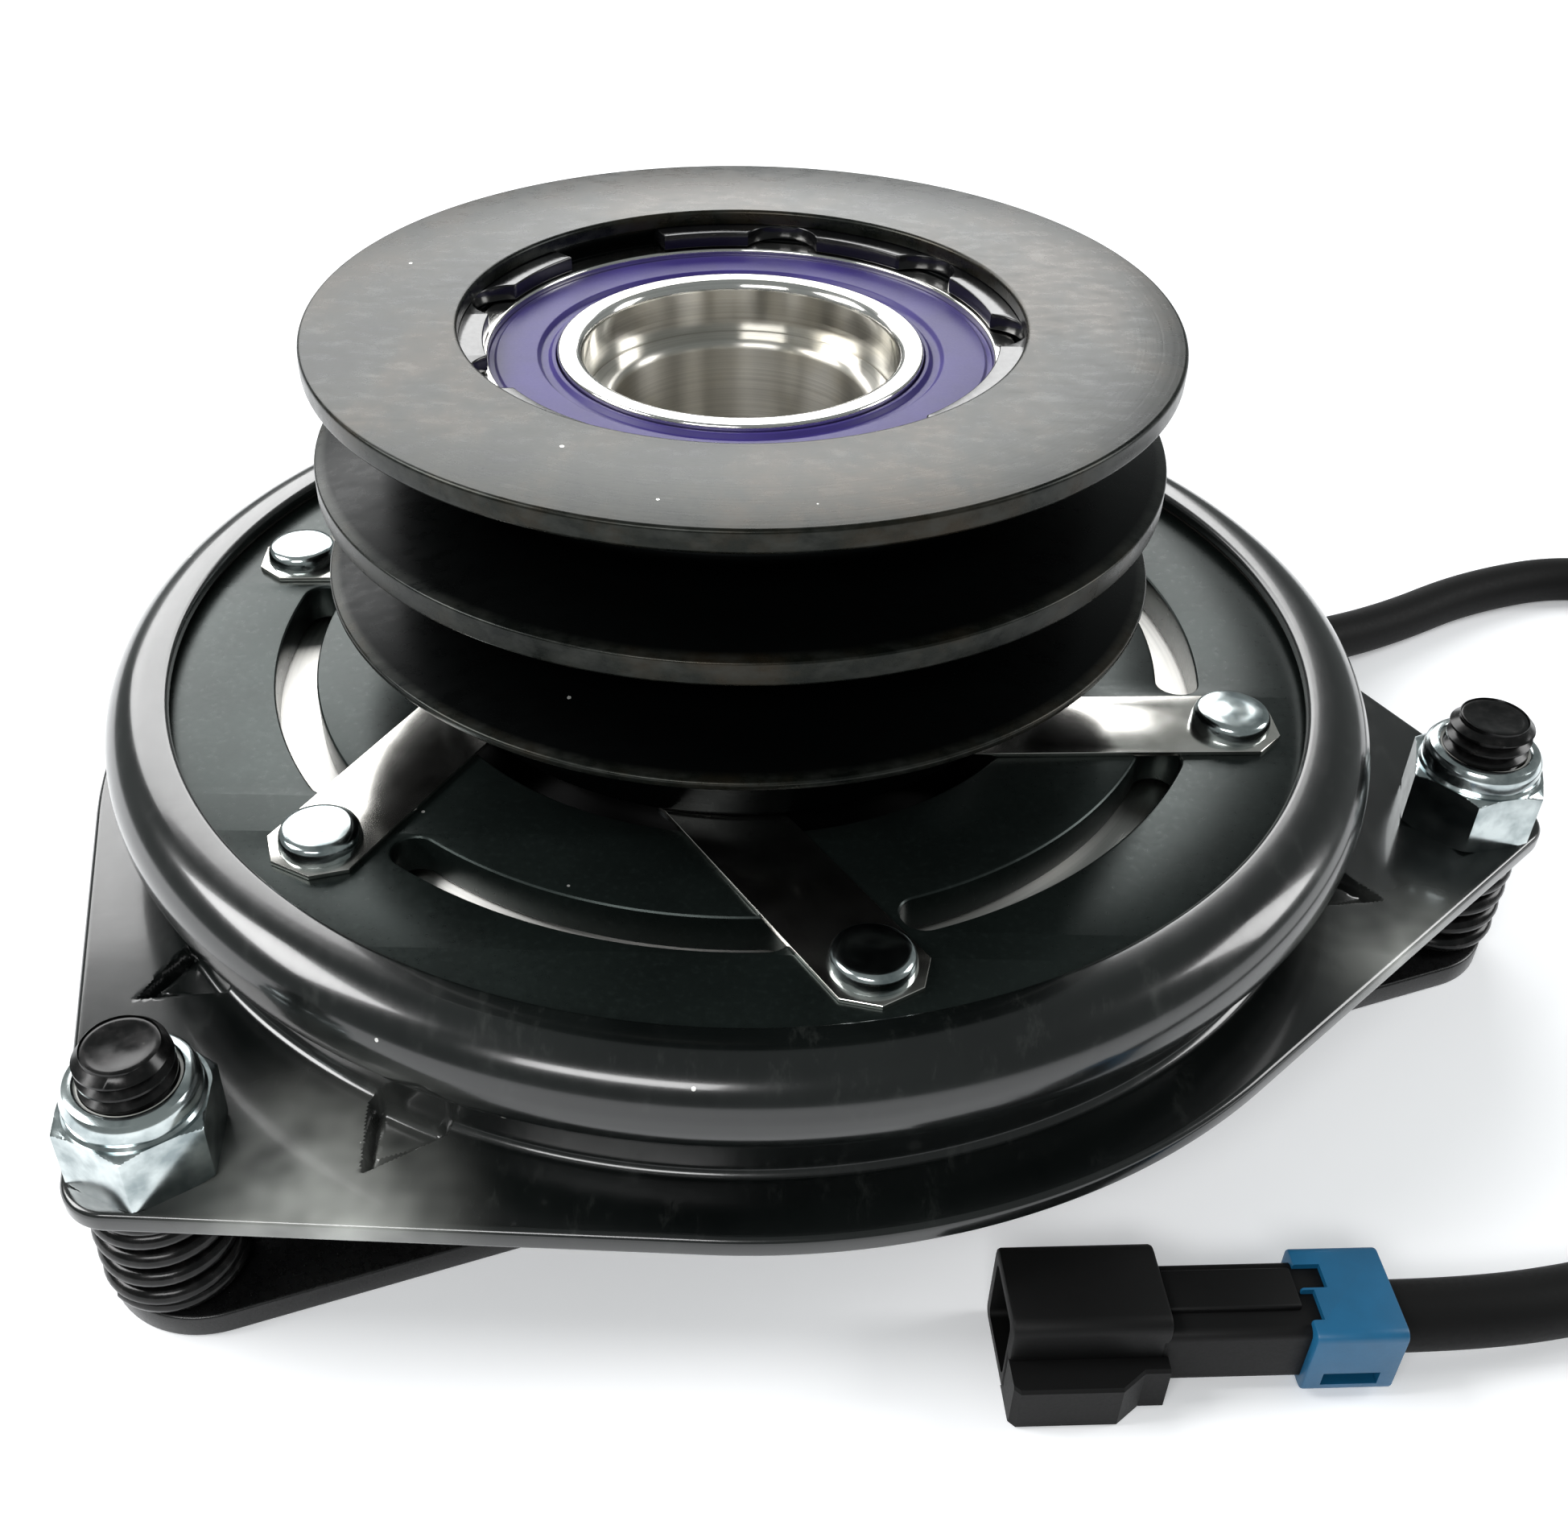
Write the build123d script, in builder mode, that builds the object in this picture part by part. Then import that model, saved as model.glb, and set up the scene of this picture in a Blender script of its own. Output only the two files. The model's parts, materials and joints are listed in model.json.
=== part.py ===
from build123d import *

import os
from math import atan2, cos, degrees, pi, radians, sin, sqrt, tan

os.makedirs("parts", exist_ok=True)

# Electromagnetic clutch-brake for a mower deck, millimetres, +Z up.
# Origin: on the spin axis, in the plane of the field plate's underside, on which the clutch stands.

# ---------------------------------------------------------------- driving dimensions
SHAFT_R = 14.2875  # crankshaft bore, 1-1/8 inch
KEY_WIDTH, KEY_TOP_R, KEY_LENGTH = 6.35, 17.46, 56.0

STUD_R, STUD_CIRCLE_R, STUD_TOP = 4.72, 90.4, 34.7  # 3/8-16 studs
EAR_ANGLES = [231.2, 351.2, 111.2]

PLATE_T, PLATE_EAR_R, PLATE_EAR_CIRCLE_R = 3.0, 11.0, 86.0
SHELL_R, SHELL_WALL, SHELL_TOP, SHELL_BASE_T = 62.8, 4.3, 24.0, 5.0
FIELD_BORE_R, FIELD_INNER_WALL = 34.0, 4.0

ROTOR_R, ROTOR_RIM_WALL, ROTOR_RIM_LOW = 68.0, 4.0, 12.4
ROTOR_FACE, ROTOR_DISC_T = 29.6, 4.6
HUB_LOW_R, HUB_MID_R, HUB_SHOULDER_R, HUB_TOP_R, HUB_TOP = 20.0, 22.0, 20.4, 17.5, 67.7

AIR_GAP = 0.4
ARMATURE_T, ARMATURE_R, ARMATURE_BORE_R = 4.8, 70.6, 38.0
SLOT_IN_R, SLOT_OUT_R = 51.4, 56.2
ARMATURE_LOW = ROTOR_FACE + AIR_GAP
ARMATURE_TOP = ARMATURE_LOW + ARMATURE_T

RIVET_CIRCLE_R, RIVET_START, STRIP_COUNT = 60.0, 223.5, 6
STRIP_T, STRIP_WIDTH, STRIP_TIP, STRIP_REACH, STRIP_SKEW, STRIP_CHAMFER = 0.6, 11.0, 5.2, 34.0, 19.0, 3.0
RIVET_HEAD_R, RIVET_HEAD_TOP_R, RIVET_HEAD_H, RIVET_SHANK_R = 4.5, 3.95, 2.0, 2.6
STRIP_TOP = ARMATURE_TOP + STRIP_T
SCREW_HEAD_R, SCREW_HEAD_H, SCREW_SHANK_R, SCREW_DEPTH = 4.3, 2.6, 2.4, 8.0

PULLEY_R, PULLEY_TOP, GROOVE_R = 48.0, 77.5, 36.0
GROOVE_HALF_ANGLE = 18.0
LOWER_GROOVE, UPPER_GROOVE = (49.2, 60.9), (63.4, 74.9)  # the two V mouths, low and high edge
PULLEY_BEARING_LOW, PULLEY_BEARING_W, PULLEY_BORE_R = 59.8, 14.0, 31.0

FLANGE_LOW, FLANGE_T, FLANGE_ROUND_R = 17.7, 2.4, 80.0
FLANGE_EAR_CIRCLE_R, FLANGE_EAR_R = 94.1, 5.5
WALL_R, WALL_T = 72.0, 1.7
ROLL_CENTRE_R, ROLL_R, ROLL_LOW, ROLL_HIGH, LIP_R = 71.1, 5.2, 30.9, 31.8, 68.4
FLANGE_TOP = FLANGE_LOW + FLANGE_T
RIM_TOP = ROLL_HIGH + ROLL_R
LINING_T = RIM_TOP - WALL_T - ARMATURE_TOP

STUD_HOLE_R = 5.3

NUT_FLATS, NUT_HEX_H, NUT_COLLAR_R, NUT_TOP, NUT_BORE_R = 14.29, 7.6, 6.7, 30.6, 4.79
NUT_TURN = [44.0, 22.0, 10.0]  # where each nut came to rest, degrees

SPRING_WIRE_R, SPRING_R, SPRING_TURNS = 1.1, 6.4, 5

LEAD_R, LEAD_ANGLE, LEAD_EXIT_Z = 3.5, 27.2, 7.6
GROMMET_R, GROMMET_IN_R, GROMMET_OUT_R = 4.1, 58.6, 68.0


def finish(part, label):
    """Labels one piece and writes it as the node of that name."""
    part.label = label
    export_step(part, f"parts/{label}.step")


def around(radius, angle, height=0.0):
    """A point at a polar place about the spin axis."""
    return (radius * cos(radians(angle)), radius * sin(radians(angle)), height)


def ring_part(inner, outer, low, high):
    """A plain ring about the spin axis."""
    with BuildPart() as ring:
        with BuildSketch(Plane.XY.offset(low)):
            Circle(outer)
            Circle(inner, mode=Mode.SUBTRACT)
        extrude(amount=high - low)
    return ring.part


# ---------------------------------------------------------------- field: plate, shell, coil
with BuildPart() as plate:
    with BuildSketch():
        with PolarLocations(PLATE_EAR_CIRCLE_R, 3, start_angle=EAR_ANGLES[0]):
            Circle(PLATE_EAR_R)
        make_hull()
        Circle(FIELD_BORE_R - 1.5, mode=Mode.SUBTRACT)
        with PolarLocations(STUD_CIRCLE_R, 3, start_angle=EAR_ANGLES[0]):
            Circle(STUD_R, mode=Mode.SUBTRACT)
        with Locations(around(73.5, EAR_ANGLES[2])):
            Circle(5.2, mode=Mode.SUBTRACT)  # hole for the engine's anti-rotation pin
        with PolarLocations(47.0, 3, start_angle=EAR_ANGLES[0] + 60):
            Circle(2.5, mode=Mode.SUBTRACT)
    extrude(amount=PLATE_T)
    chamfer(plate.edges().filter_by(GeomType.CIRCLE).filter_by(lambda e: abs(e.radius - PLATE_EAR_R) < 0.01), 0.3)
finish(plate.part, "field_mounting_plate")

with BuildPart() as plate_rivets:
    with BuildSketch():
        with PolarLocations(47.0, 3, start_angle=EAR_ANGLES[0] + 60):
            Circle(2.5)
    extrude(amount=PLATE_T + SHELL_BASE_T)
finish(plate_rivets.part, "field_plate_rivets")

with BuildPart() as shell:
    with BuildSketch(Plane.XZ):
        with BuildLine():
            Polyline(
                (FIELD_BORE_R, PLATE_T),
                (SHELL_R - 0.4, PLATE_T),
                (SHELL_R, PLATE_T + 0.4),
                (SHELL_R, SHELL_TOP),
                (SHELL_R - SHELL_WALL, SHELL_TOP),
                (SHELL_R - SHELL_WALL, PLATE_T + SHELL_BASE_T),
                (FIELD_BORE_R + FIELD_INNER_WALL, PLATE_T + SHELL_BASE_T),
                (FIELD_BORE_R + FIELD_INNER_WALL, SHELL_TOP),
                (FIELD_BORE_R, SHELL_TOP),
                close=True,
            )
        make_face()
    revolve(axis=Axis.Z)
    with BuildSketch(Plane.XY.offset(PLATE_T)):
        with PolarLocations(47.0, 3, start_angle=EAR_ANGLES[0] + 60):
            Circle(2.5)
    extrude(amount=SHELL_BASE_T, mode=Mode.SUBTRACT)
    with BuildSketch(Plane(origin=around(SHELL_R - SHELL_WALL, LEAD_ANGLE, LEAD_EXIT_Z), z_dir=around(1, LEAD_ANGLE))):
        Circle(GROMMET_R)
    extrude(amount=2 * SHELL_WALL, mode=Mode.SUBTRACT)
finish(shell.part, "field_shell")

COIL_IN_R, COIL_OUT_R, COIL_LOW, COIL_HIGH = 38.3, 57.5, 8.1, 22.4
BOBBIN_WALL = 1.5
with BuildPart() as bobbin:
    with BuildSketch(Plane.XZ):
        with BuildLine():
            Polyline(
                (COIL_IN_R, COIL_LOW),
                (COIL_OUT_R, COIL_LOW),
                (COIL_OUT_R, COIL_LOW + BOBBIN_WALL),
                (COIL_IN_R + BOBBIN_WALL, COIL_LOW + BOBBIN_WALL),
                (COIL_IN_R + BOBBIN_WALL, COIL_HIGH - BOBBIN_WALL),
                (COIL_OUT_R, COIL_HIGH - BOBBIN_WALL),
                (COIL_OUT_R, COIL_HIGH),
                (COIL_IN_R, COIL_HIGH),
                close=True,
            )
        make_face()
    revolve(axis=Axis.Z)
finish(bobbin.part, "coil_bobbin")

finish(
    ring_part(COIL_IN_R + BOBBIN_WALL, COIL_OUT_R - 0.8, COIL_LOW + BOBBIN_WALL, COIL_HIGH - BOBBIN_WALL),
    "coil_winding",
)
finish(ring_part(COIL_IN_R, SHELL_R - SHELL_WALL, COIL_HIGH, SHELL_TOP), "coil_potting")


# ---------------------------------------------------------------- ball bearings
def bearing(name, bore, outer, low, width, ball_r, ball_count, inner_land, outer_land):
    """Writes a sealed deep-groove bearing as races, balls, cage and two seals."""
    high = low + width
    middle = (low + high) / 2
    pitch = (bore + outer) / 2
    groove_r = ball_r + 0.06
    bevel = 0.6
    with BuildPart() as inner_race:
        with BuildSketch(Plane.XZ):
            with BuildLine():
                Polyline(
                    (bore, low + bevel),
                    (bore + bevel, low),
                    (inner_land, low),
                    (inner_land, high),
                    (bore + bevel, high),
                    (bore, high - bevel),
                    close=True,
                )
            make_face()
            with Locations((pitch, middle)):
                Circle(groove_r, mode=Mode.SUBTRACT)
        revolve(axis=Axis.Z)
    finish(inner_race.part, f"{name}_inner_race")

    with BuildPart() as outer_race:
        with BuildSketch(Plane.XZ):
            with BuildLine():
                Polyline(
                    (outer, low + bevel),
                    (outer - bevel, low),
                    (outer_land, low),
                    (outer_land, high),
                    (outer - bevel, high),
                    (outer, high - bevel),
                    close=True,
                )
            make_face()
            with Locations((pitch, middle)):
                Circle(groove_r, mode=Mode.SUBTRACT)
        revolve(axis=Axis.Z)
    finish(outer_race.part, f"{name}_outer_race")

    with BuildPart() as balls:
        with PolarLocations(pitch, ball_count):
            with Locations((0, 0, middle)):
                Sphere(ball_r)
    finish(balls.part, f"{name}_balls")

    with BuildPart() as cage:
        with BuildSketch(Plane.XY.offset(middle - 1.5)):
            Circle(pitch + 1.6)
            Circle(pitch - 1.6, mode=Mode.SUBTRACT)
        extrude(amount=ball_r + 2.3)  # a crown: pockets open downward, joined above the balls
        with PolarLocations(pitch, ball_count):
            with Locations((0, 0, middle)):
                Sphere(ball_r + 0.1, mode=Mode.SUBTRACT)
    finish(cage.part, f"{name}_cage")

    seal_t, recess, lip_gap = 1.0, 0.7, 0.15
    for side, seal_low in (("upper", high - recess - seal_t), ("lower", low + recess)):
        seal = ring_part(inner_land + lip_gap, outer_land, seal_low, seal_low + seal_t)
        finish(seal, f"{name}_{side}_seal")


FIELD_BEARING_LOW, FIELD_BEARING_W = 4.0, 15.0
bearing("field_bearing", HUB_LOW_R, FIELD_BORE_R, FIELD_BEARING_LOW, FIELD_BEARING_W, 3.97, 12, 24.0, 30.4)
bearing("pulley_bearing", HUB_TOP_R, PULLEY_BORE_R, PULLEY_BEARING_LOW, PULLEY_BEARING_W, 4.4, 11, 20.3, 27.9)

# ---------------------------------------------------------------- rotor: hub, iron rotor, lining, ring
FIELD_BEARING_HIGH = FIELD_BEARING_LOW + FIELD_BEARING_W
SNAP_T = 1.75
with BuildPart() as hub:
    with BuildSketch(Plane.XZ):
        with BuildLine():
            Polyline(
                (SHAFT_R, 0),
                (HUB_LOW_R - 0.5, 0),
                (HUB_LOW_R, 0.5),
                (HUB_LOW_R, FIELD_BEARING_LOW - SNAP_T),
                (HUB_LOW_R - 1.2, FIELD_BEARING_LOW - SNAP_T),
                (HUB_LOW_R - 1.2, FIELD_BEARING_LOW),
                (HUB_LOW_R, FIELD_BEARING_LOW),
                (HUB_LOW_R, FIELD_BEARING_HIGH),
                (HUB_MID_R, FIELD_BEARING_HIGH),
                (HUB_MID_R, ROTOR_FACE),
                (HUB_SHOULDER_R, ROTOR_FACE),
                (HUB_SHOULDER_R, PULLEY_BEARING_LOW),
                (HUB_TOP_R, PULLEY_BEARING_LOW),
                (HUB_TOP_R, HUB_TOP),
                (SHAFT_R, HUB_TOP),
                close=True,
            )
        make_face()
    revolve(axis=Axis.Z)
    with BuildSketch():
        with Locations((0, -KEY_TOP_R / 2)):
            Rectangle(KEY_WIDTH, KEY_TOP_R)
    extrude(amount=KEY_LENGTH, mode=Mode.SUBTRACT)
finish(hub.part, "rotor_hub")

LINING_IN_R, LINING_OUT_R, LINING_DEPTH = 43.0, 49.0, 2.0
with BuildPart() as rotor:
    with BuildSketch(Plane.XZ):
        with BuildLine():
            Polyline(
                (HUB_MID_R, FIELD_BEARING_HIGH + 0.6),
                (FIELD_BORE_R - 1.0, FIELD_BEARING_HIGH + 0.6),
                (FIELD_BORE_R - 1.0, ROTOR_FACE - ROTOR_DISC_T),
                (ROTOR_R - ROTOR_RIM_WALL, ROTOR_FACE - ROTOR_DISC_T),
                (ROTOR_R - ROTOR_RIM_WALL, ROTOR_RIM_LOW),
                (ROTOR_R, ROTOR_RIM_LOW),
                (ROTOR_R, ROTOR_FACE),
                (LINING_OUT_R, ROTOR_FACE),
                (LINING_OUT_R, ROTOR_FACE - LINING_DEPTH),
                (LINING_IN_R, ROTOR_FACE - LINING_DEPTH),
                (LINING_IN_R, ROTOR_FACE),
                (HUB_MID_R, ROTOR_FACE),
                close=True,
            )
        make_face()
    revolve(axis=Axis.Z)
    for slot_radius, slot_width in ((59.5, 2.4), (39.0, 2.4)):  # flux slots through the disc
        with BuildSketch(Plane.XY.offset(ROTOR_FACE)):
            for start in range(0, 360, 60):
                SlotArc(CenterArc((0, 0), slot_radius, start + 6, 48, mode=Mode.PRIVATE), slot_width)
        extrude(amount=-ROTOR_DISC_T, mode=Mode.SUBTRACT)
finish(rotor.part, "rotor")

finish(ring_part(LINING_IN_R, LINING_OUT_R, ROTOR_FACE - LINING_DEPTH, ROTOR_FACE), "rotor_friction_lining")


def snap_ring(inner, outer, low, thickness, opening_angle, opening_half, scallops, scallop_r, scallop_at):
    """An open retaining ring whose edge is scalloped at the given angles from its opening."""
    with BuildPart() as ring:
        with BuildSketch(Plane.XY.offset(low)):
            Circle(outer)
            Circle(inner, mode=Mode.SUBTRACT)
            with BuildLine():
                Polyline(
                    (0, 0),
                    around(outer + 4, opening_angle - opening_half),
                    around(outer + 4, opening_angle + opening_half),
                    close=True,
                )
            make_face(mode=Mode.SUBTRACT)
            for turn in scallops:
                with Locations(around(scallop_at, opening_angle + turn)):
                    Circle(scallop_r, mode=Mode.SUBTRACT)
        extrude(amount=thickness)
    return ring.part


hub_ring = snap_ring(HUB_LOW_R - 1.2, HUB_LOW_R + 3.4, FIELD_BEARING_LOW - SNAP_T, SNAP_T, 90, 9, [], 0, 0)
finish(hub_ring, "hub_retaining_ring")

# ---------------------------------------------------------------- pulley and what turns with it
RING_LOW, RING_T, RING_GROOVE_R = PULLEY_BEARING_LOW + PULLEY_BEARING_W + 0.1, 1.9, 32.6
groove_fall = (PULLEY_R - GROOVE_R) * tan(radians(GROOVE_HALF_ANGLE))
BEARING_LAND_R, PULLEY_THROAT_R = 28.4, 24.0
screw_circle_r = sqrt(
    (RIVET_CIRCLE_R - STRIP_REACH * cos(radians(STRIP_SKEW))) ** 2 + (STRIP_REACH * sin(radians(STRIP_SKEW))) ** 2
)
screw_lag = degrees(
    atan2(STRIP_REACH * sin(radians(STRIP_SKEW)), RIVET_CIRCLE_R - STRIP_REACH * cos(radians(STRIP_SKEW)))
)
with BuildPart() as pulley:
    with BuildSketch(Plane.XZ):
        with BuildLine():
            Polyline(
                (PULLEY_THROAT_R, STRIP_TOP),
                (GROOVE_R, STRIP_TOP),
                (GROOVE_R, STRIP_TOP + 8.6),
                (PULLEY_R - 0.4, LOWER_GROOVE[0] - 0.7),
                (PULLEY_R, LOWER_GROOVE[0] - 0.4),
                (PULLEY_R, LOWER_GROOVE[0]),
                (GROOVE_R, LOWER_GROOVE[0] + groove_fall),
                (GROOVE_R, LOWER_GROOVE[1] - groove_fall),
                (PULLEY_R, LOWER_GROOVE[1]),
                (PULLEY_R, UPPER_GROOVE[0]),
                (GROOVE_R, UPPER_GROOVE[0] + groove_fall),
                (GROOVE_R, UPPER_GROOVE[1] - groove_fall),
                (PULLEY_R - 0.4, UPPER_GROOVE[1]),
                (PULLEY_R, UPPER_GROOVE[1] + 0.6),
                (PULLEY_R, PULLEY_TOP - 0.4),
                (PULLEY_R - 0.4, PULLEY_TOP),
                (PULLEY_BORE_R + 0.4, PULLEY_TOP),
                (PULLEY_BORE_R, PULLEY_TOP - 0.4),
                (PULLEY_BORE_R, RING_LOW + RING_T),
                (RING_GROOVE_R, RING_LOW + RING_T),
                (RING_GROOVE_R, RING_LOW),
                (PULLEY_BORE_R, RING_LOW),
                (PULLEY_BORE_R, PULLEY_BEARING_LOW),
                (BEARING_LAND_R, PULLEY_BEARING_LOW),
                (BEARING_LAND_R, PULLEY_BEARING_LOW - 2.0),
                (PULLEY_THROAT_R, PULLEY_BEARING_LOW - 2.0),
                close=True,
            )
        make_face()
    revolve(axis=Axis.Z)
    with BuildSketch(Plane.XY.offset(STRIP_TOP)):
        with PolarLocations(screw_circle_r, STRIP_COUNT, start_angle=RIVET_START - screw_lag):
            Circle(SCREW_SHANK_R)
    extrude(amount=SCREW_DEPTH, mode=Mode.SUBTRACT)
finish(pulley.part, "pulley")

pulley_ring = snap_ring(
    28.3, RING_GROOVE_R - 0.2, RING_LOW, RING_T, 123, 13, (43, 83, 123, 180, -43, -83, -123), 4.3, 27.0
)
finish(pulley_ring, "pulley_retaining_ring")

for number in range(STRIP_COUNT):
    rivet_angle = RIVET_START + 60 * number
    strip_plane = Plane(
        origin=around(RIVET_CIRCLE_R, rivet_angle, ARMATURE_TOP),
        x_dir=around(1, rivet_angle + STRIP_SKEW),
        z_dir=(0, 0, 1),
    )
    with BuildPart() as strip:
        with BuildSketch(strip_plane):
            with Locations((-STRIP_REACH / 2, 0)):
                Rectangle(STRIP_REACH + 2 * STRIP_TIP, STRIP_WIDTH)
        extrude(amount=STRIP_T)
        chamfer(strip.edges().filter_by(Axis.Z), STRIP_CHAMFER)
        with BuildSketch(strip_plane):
            Circle(RIVET_SHANK_R)
            with Locations((-STRIP_REACH, 0)):
                Circle(SCREW_SHANK_R)
        extrude(amount=STRIP_T, mode=Mode.SUBTRACT)
    finish(strip.part, f"leaf_spring_{number + 1}")

with BuildPart() as hub_screws:
    with BuildSketch(Plane.XY.offset(ARMATURE_TOP - SCREW_HEAD_H)):
        with PolarLocations(screw_circle_r, STRIP_COUNT, start_angle=RIVET_START - screw_lag):
            Circle(SCREW_HEAD_R)
    extrude(amount=SCREW_HEAD_H)
    with BuildSketch(Plane.XY.offset(ARMATURE_TOP)):
        with PolarLocations(screw_circle_r, STRIP_COUNT, start_angle=RIVET_START - screw_lag):
            Circle(SCREW_SHANK_R)
    extrude(amount=STRIP_T + SCREW_DEPTH)
    with BuildSketch(Plane.XY.offset(ARMATURE_TOP - SCREW_HEAD_H)):
        with PolarLocations(screw_circle_r, STRIP_COUNT, start_angle=RIVET_START - screw_lag):
            RegularPolygon(1.6, 6)
    extrude(amount=1.4, mode=Mode.SUBTRACT)
finish(hub_screws.part, "leaf_spring_screws")

# ---------------------------------------------------------------- armature
SLOT_MID_R = (SLOT_IN_R + SLOT_OUT_R) / 2
SLOT_WIDTH = SLOT_OUT_R - SLOT_IN_R
SLOT_FROM, SLOT_TO = 5.4, 53.0  # slot tips, degrees past each rivet
slot_cap = degrees(SLOT_WIDTH / 2 / SLOT_MID_R)
with BuildPart() as armature:
    with BuildSketch(Plane.XY.offset(ARMATURE_LOW)):
        Circle(ARMATURE_R)
        Circle(ARMATURE_BORE_R, mode=Mode.SUBTRACT)
        for number in range(STRIP_COUNT):
            slot_start = RIVET_START + 60 * number + SLOT_FROM + slot_cap
            slot_arc = CenterArc(
                (0, 0), SLOT_MID_R, slot_start, SLOT_TO - SLOT_FROM - 2 * slot_cap, mode=Mode.PRIVATE
            )
            SlotArc(slot_arc, SLOT_WIDTH, mode=Mode.SUBTRACT)
        with PolarLocations(RIVET_CIRCLE_R, STRIP_COUNT, start_angle=RIVET_START):
            Circle(RIVET_SHANK_R, mode=Mode.SUBTRACT)
    extrude(amount=ARMATURE_T)
    outer_edges = armature.edges().filter_by(GeomType.CIRCLE).filter_by(lambda e: abs(e.radius - ARMATURE_R) < 0.01)
    chamfer(outer_edges, 0.5)
finish(armature.part, "armature")

with BuildPart() as armature_rivets:
    with BuildSketch(Plane.XY.offset(ARMATURE_LOW)):
        with PolarLocations(RIVET_CIRCLE_R, STRIP_COUNT, start_angle=RIVET_START):
            Circle(RIVET_SHANK_R)
    extrude(amount=ARMATURE_T + STRIP_T)
    with BuildSketch(Plane.XY.offset(STRIP_TOP)):
        with PolarLocations(RIVET_CIRCLE_R, STRIP_COUNT, start_angle=RIVET_START):
            Circle(RIVET_HEAD_R)
    extrude(amount=RIVET_HEAD_H)
    chamfer(
        armature_rivets.faces().group_by(Axis.Z)[-1].edges(),
        length=RIVET_HEAD_R - RIVET_HEAD_TOP_R,
        length2=RIVET_HEAD_H * 0.45,
    )
finish(armature_rivets.part, "armature_rivets")

# ---------------------------------------------------------------- brake flange
WINDOW_ANGLES, WINDOW_HALF, WINDOW_LOW, WINDOW_HIGH = [322.0, 202.0, 82.0], 11.0, 22.2, 25.2
DART_TURN, DART_TIP_R, DART_HALF, DART_DEPTH = 12.8, 80.5, 3.2, 1.2
WALL_ROOT = 1.5
inner_roll = ROLL_R - WALL_T
wall_inner_r = WALL_R - WALL_T
outer_meet = ROLL_LOW - sqrt(ROLL_R**2 - (WALL_R - ROLL_CENTRE_R) ** 2)
inner_meet = ROLL_LOW - sqrt(inner_roll**2 - (wall_inner_r - ROLL_CENTRE_R) ** 2)
diagonal = sqrt(0.5)
with BuildPart() as flange:
    with BuildSketch(Plane.XZ):
        with BuildLine():
            Line((wall_inner_r, FLANGE_LOW), (wall_inner_r, inner_meet))
            ThreePointArc(
                (wall_inner_r, inner_meet),
                (ROLL_CENTRE_R + inner_roll * diagonal, ROLL_LOW - inner_roll * diagonal),
                (ROLL_CENTRE_R + inner_roll, ROLL_LOW),
            )
            Line((ROLL_CENTRE_R + inner_roll, ROLL_LOW), (ROLL_CENTRE_R + inner_roll, ROLL_HIGH))
            ThreePointArc(
                (ROLL_CENTRE_R + inner_roll, ROLL_HIGH),
                (ROLL_CENTRE_R + inner_roll * diagonal, ROLL_HIGH + inner_roll * diagonal),
                (ROLL_CENTRE_R, ROLL_HIGH + inner_roll),
            )
            Polyline(
                (ROLL_CENTRE_R, ROLL_HIGH + inner_roll),
                (LIP_R + 0.4, ROLL_HIGH + inner_roll),
                (LIP_R, ROLL_HIGH + inner_roll + 0.4),
                (LIP_R, RIM_TOP - 0.6),
                (LIP_R + 0.6, RIM_TOP),
                (ROLL_CENTRE_R, RIM_TOP),
            )
            ThreePointArc(
                (ROLL_CENTRE_R, RIM_TOP),
                (ROLL_CENTRE_R + ROLL_R * diagonal, ROLL_HIGH + ROLL_R * diagonal),
                (ROLL_CENTRE_R + ROLL_R, ROLL_HIGH),
            )
            Line((ROLL_CENTRE_R + ROLL_R, ROLL_HIGH), (ROLL_CENTRE_R + ROLL_R, ROLL_LOW))
            ThreePointArc(
                (ROLL_CENTRE_R + ROLL_R, ROLL_LOW),
                (ROLL_CENTRE_R + ROLL_R * diagonal, ROLL_LOW - ROLL_R * diagonal),
                (WALL_R, outer_meet),
            )
            Polyline(
                (WALL_R, outer_meet),
                (WALL_R, FLANGE_TOP + WALL_ROOT),
                (WALL_R + WALL_ROOT, FLANGE_TOP),
                (WALL_R + WALL_ROOT, FLANGE_LOW),
                (wall_inner_r, FLANGE_LOW),
            )
        make_face()
    revolve(axis=Axis.Z)
    with BuildSketch(Plane.XY.offset(FLANGE_LOW)):
        Circle(FLANGE_ROUND_R)
        with PolarLocations(FLANGE_EAR_CIRCLE_R, 3, start_angle=EAR_ANGLES[0]):
            Circle(FLANGE_EAR_R)
        make_hull()
        Circle(WALL_R + WALL_ROOT / 2, mode=Mode.SUBTRACT)
        with PolarLocations(STUD_CIRCLE_R, 3, start_angle=EAR_ANGLES[0]):
            Circle(STUD_HOLE_R, mode=Mode.SUBTRACT)
    extrude(amount=FLANGE_T)
    with BuildSketch(Plane.XY.offset(WINDOW_LOW)):
        for window_angle in WINDOW_ANGLES:
            arc = CenterArc((0, 0), WALL_R - WALL_T / 2, window_angle - WINDOW_HALF, 2 * WINDOW_HALF, mode=Mode.PRIVATE)
            SlotArc(arc, 2 * WALL_T + 1.0)
    extrude(amount=WINDOW_HIGH - WINDOW_LOW, mode=Mode.SUBTRACT)
    with BuildSketch(Plane.XY.offset(FLANGE_TOP)):
        for ear_angle in EAR_ANGLES:
            for turn in (-DART_TURN, DART_TURN):
                with BuildLine():
                    Polyline(
                        around(DART_TIP_R, ear_angle + turn),
                        around(WALL_R + 0.6, ear_angle + turn - DART_HALF),
                        around(WALL_R + 0.6, ear_angle + turn + DART_HALF),
                        close=True,
                    )
                make_face()
    extrude(amount=-DART_DEPTH, mode=Mode.SUBTRACT)
finish(flange.part, "brake_flange")

finish(ring_part(LIP_R + 0.5, ARMATURE_R - 0.2, ARMATURE_TOP, ARMATURE_TOP + LINING_T), "brake_lining")

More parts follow.
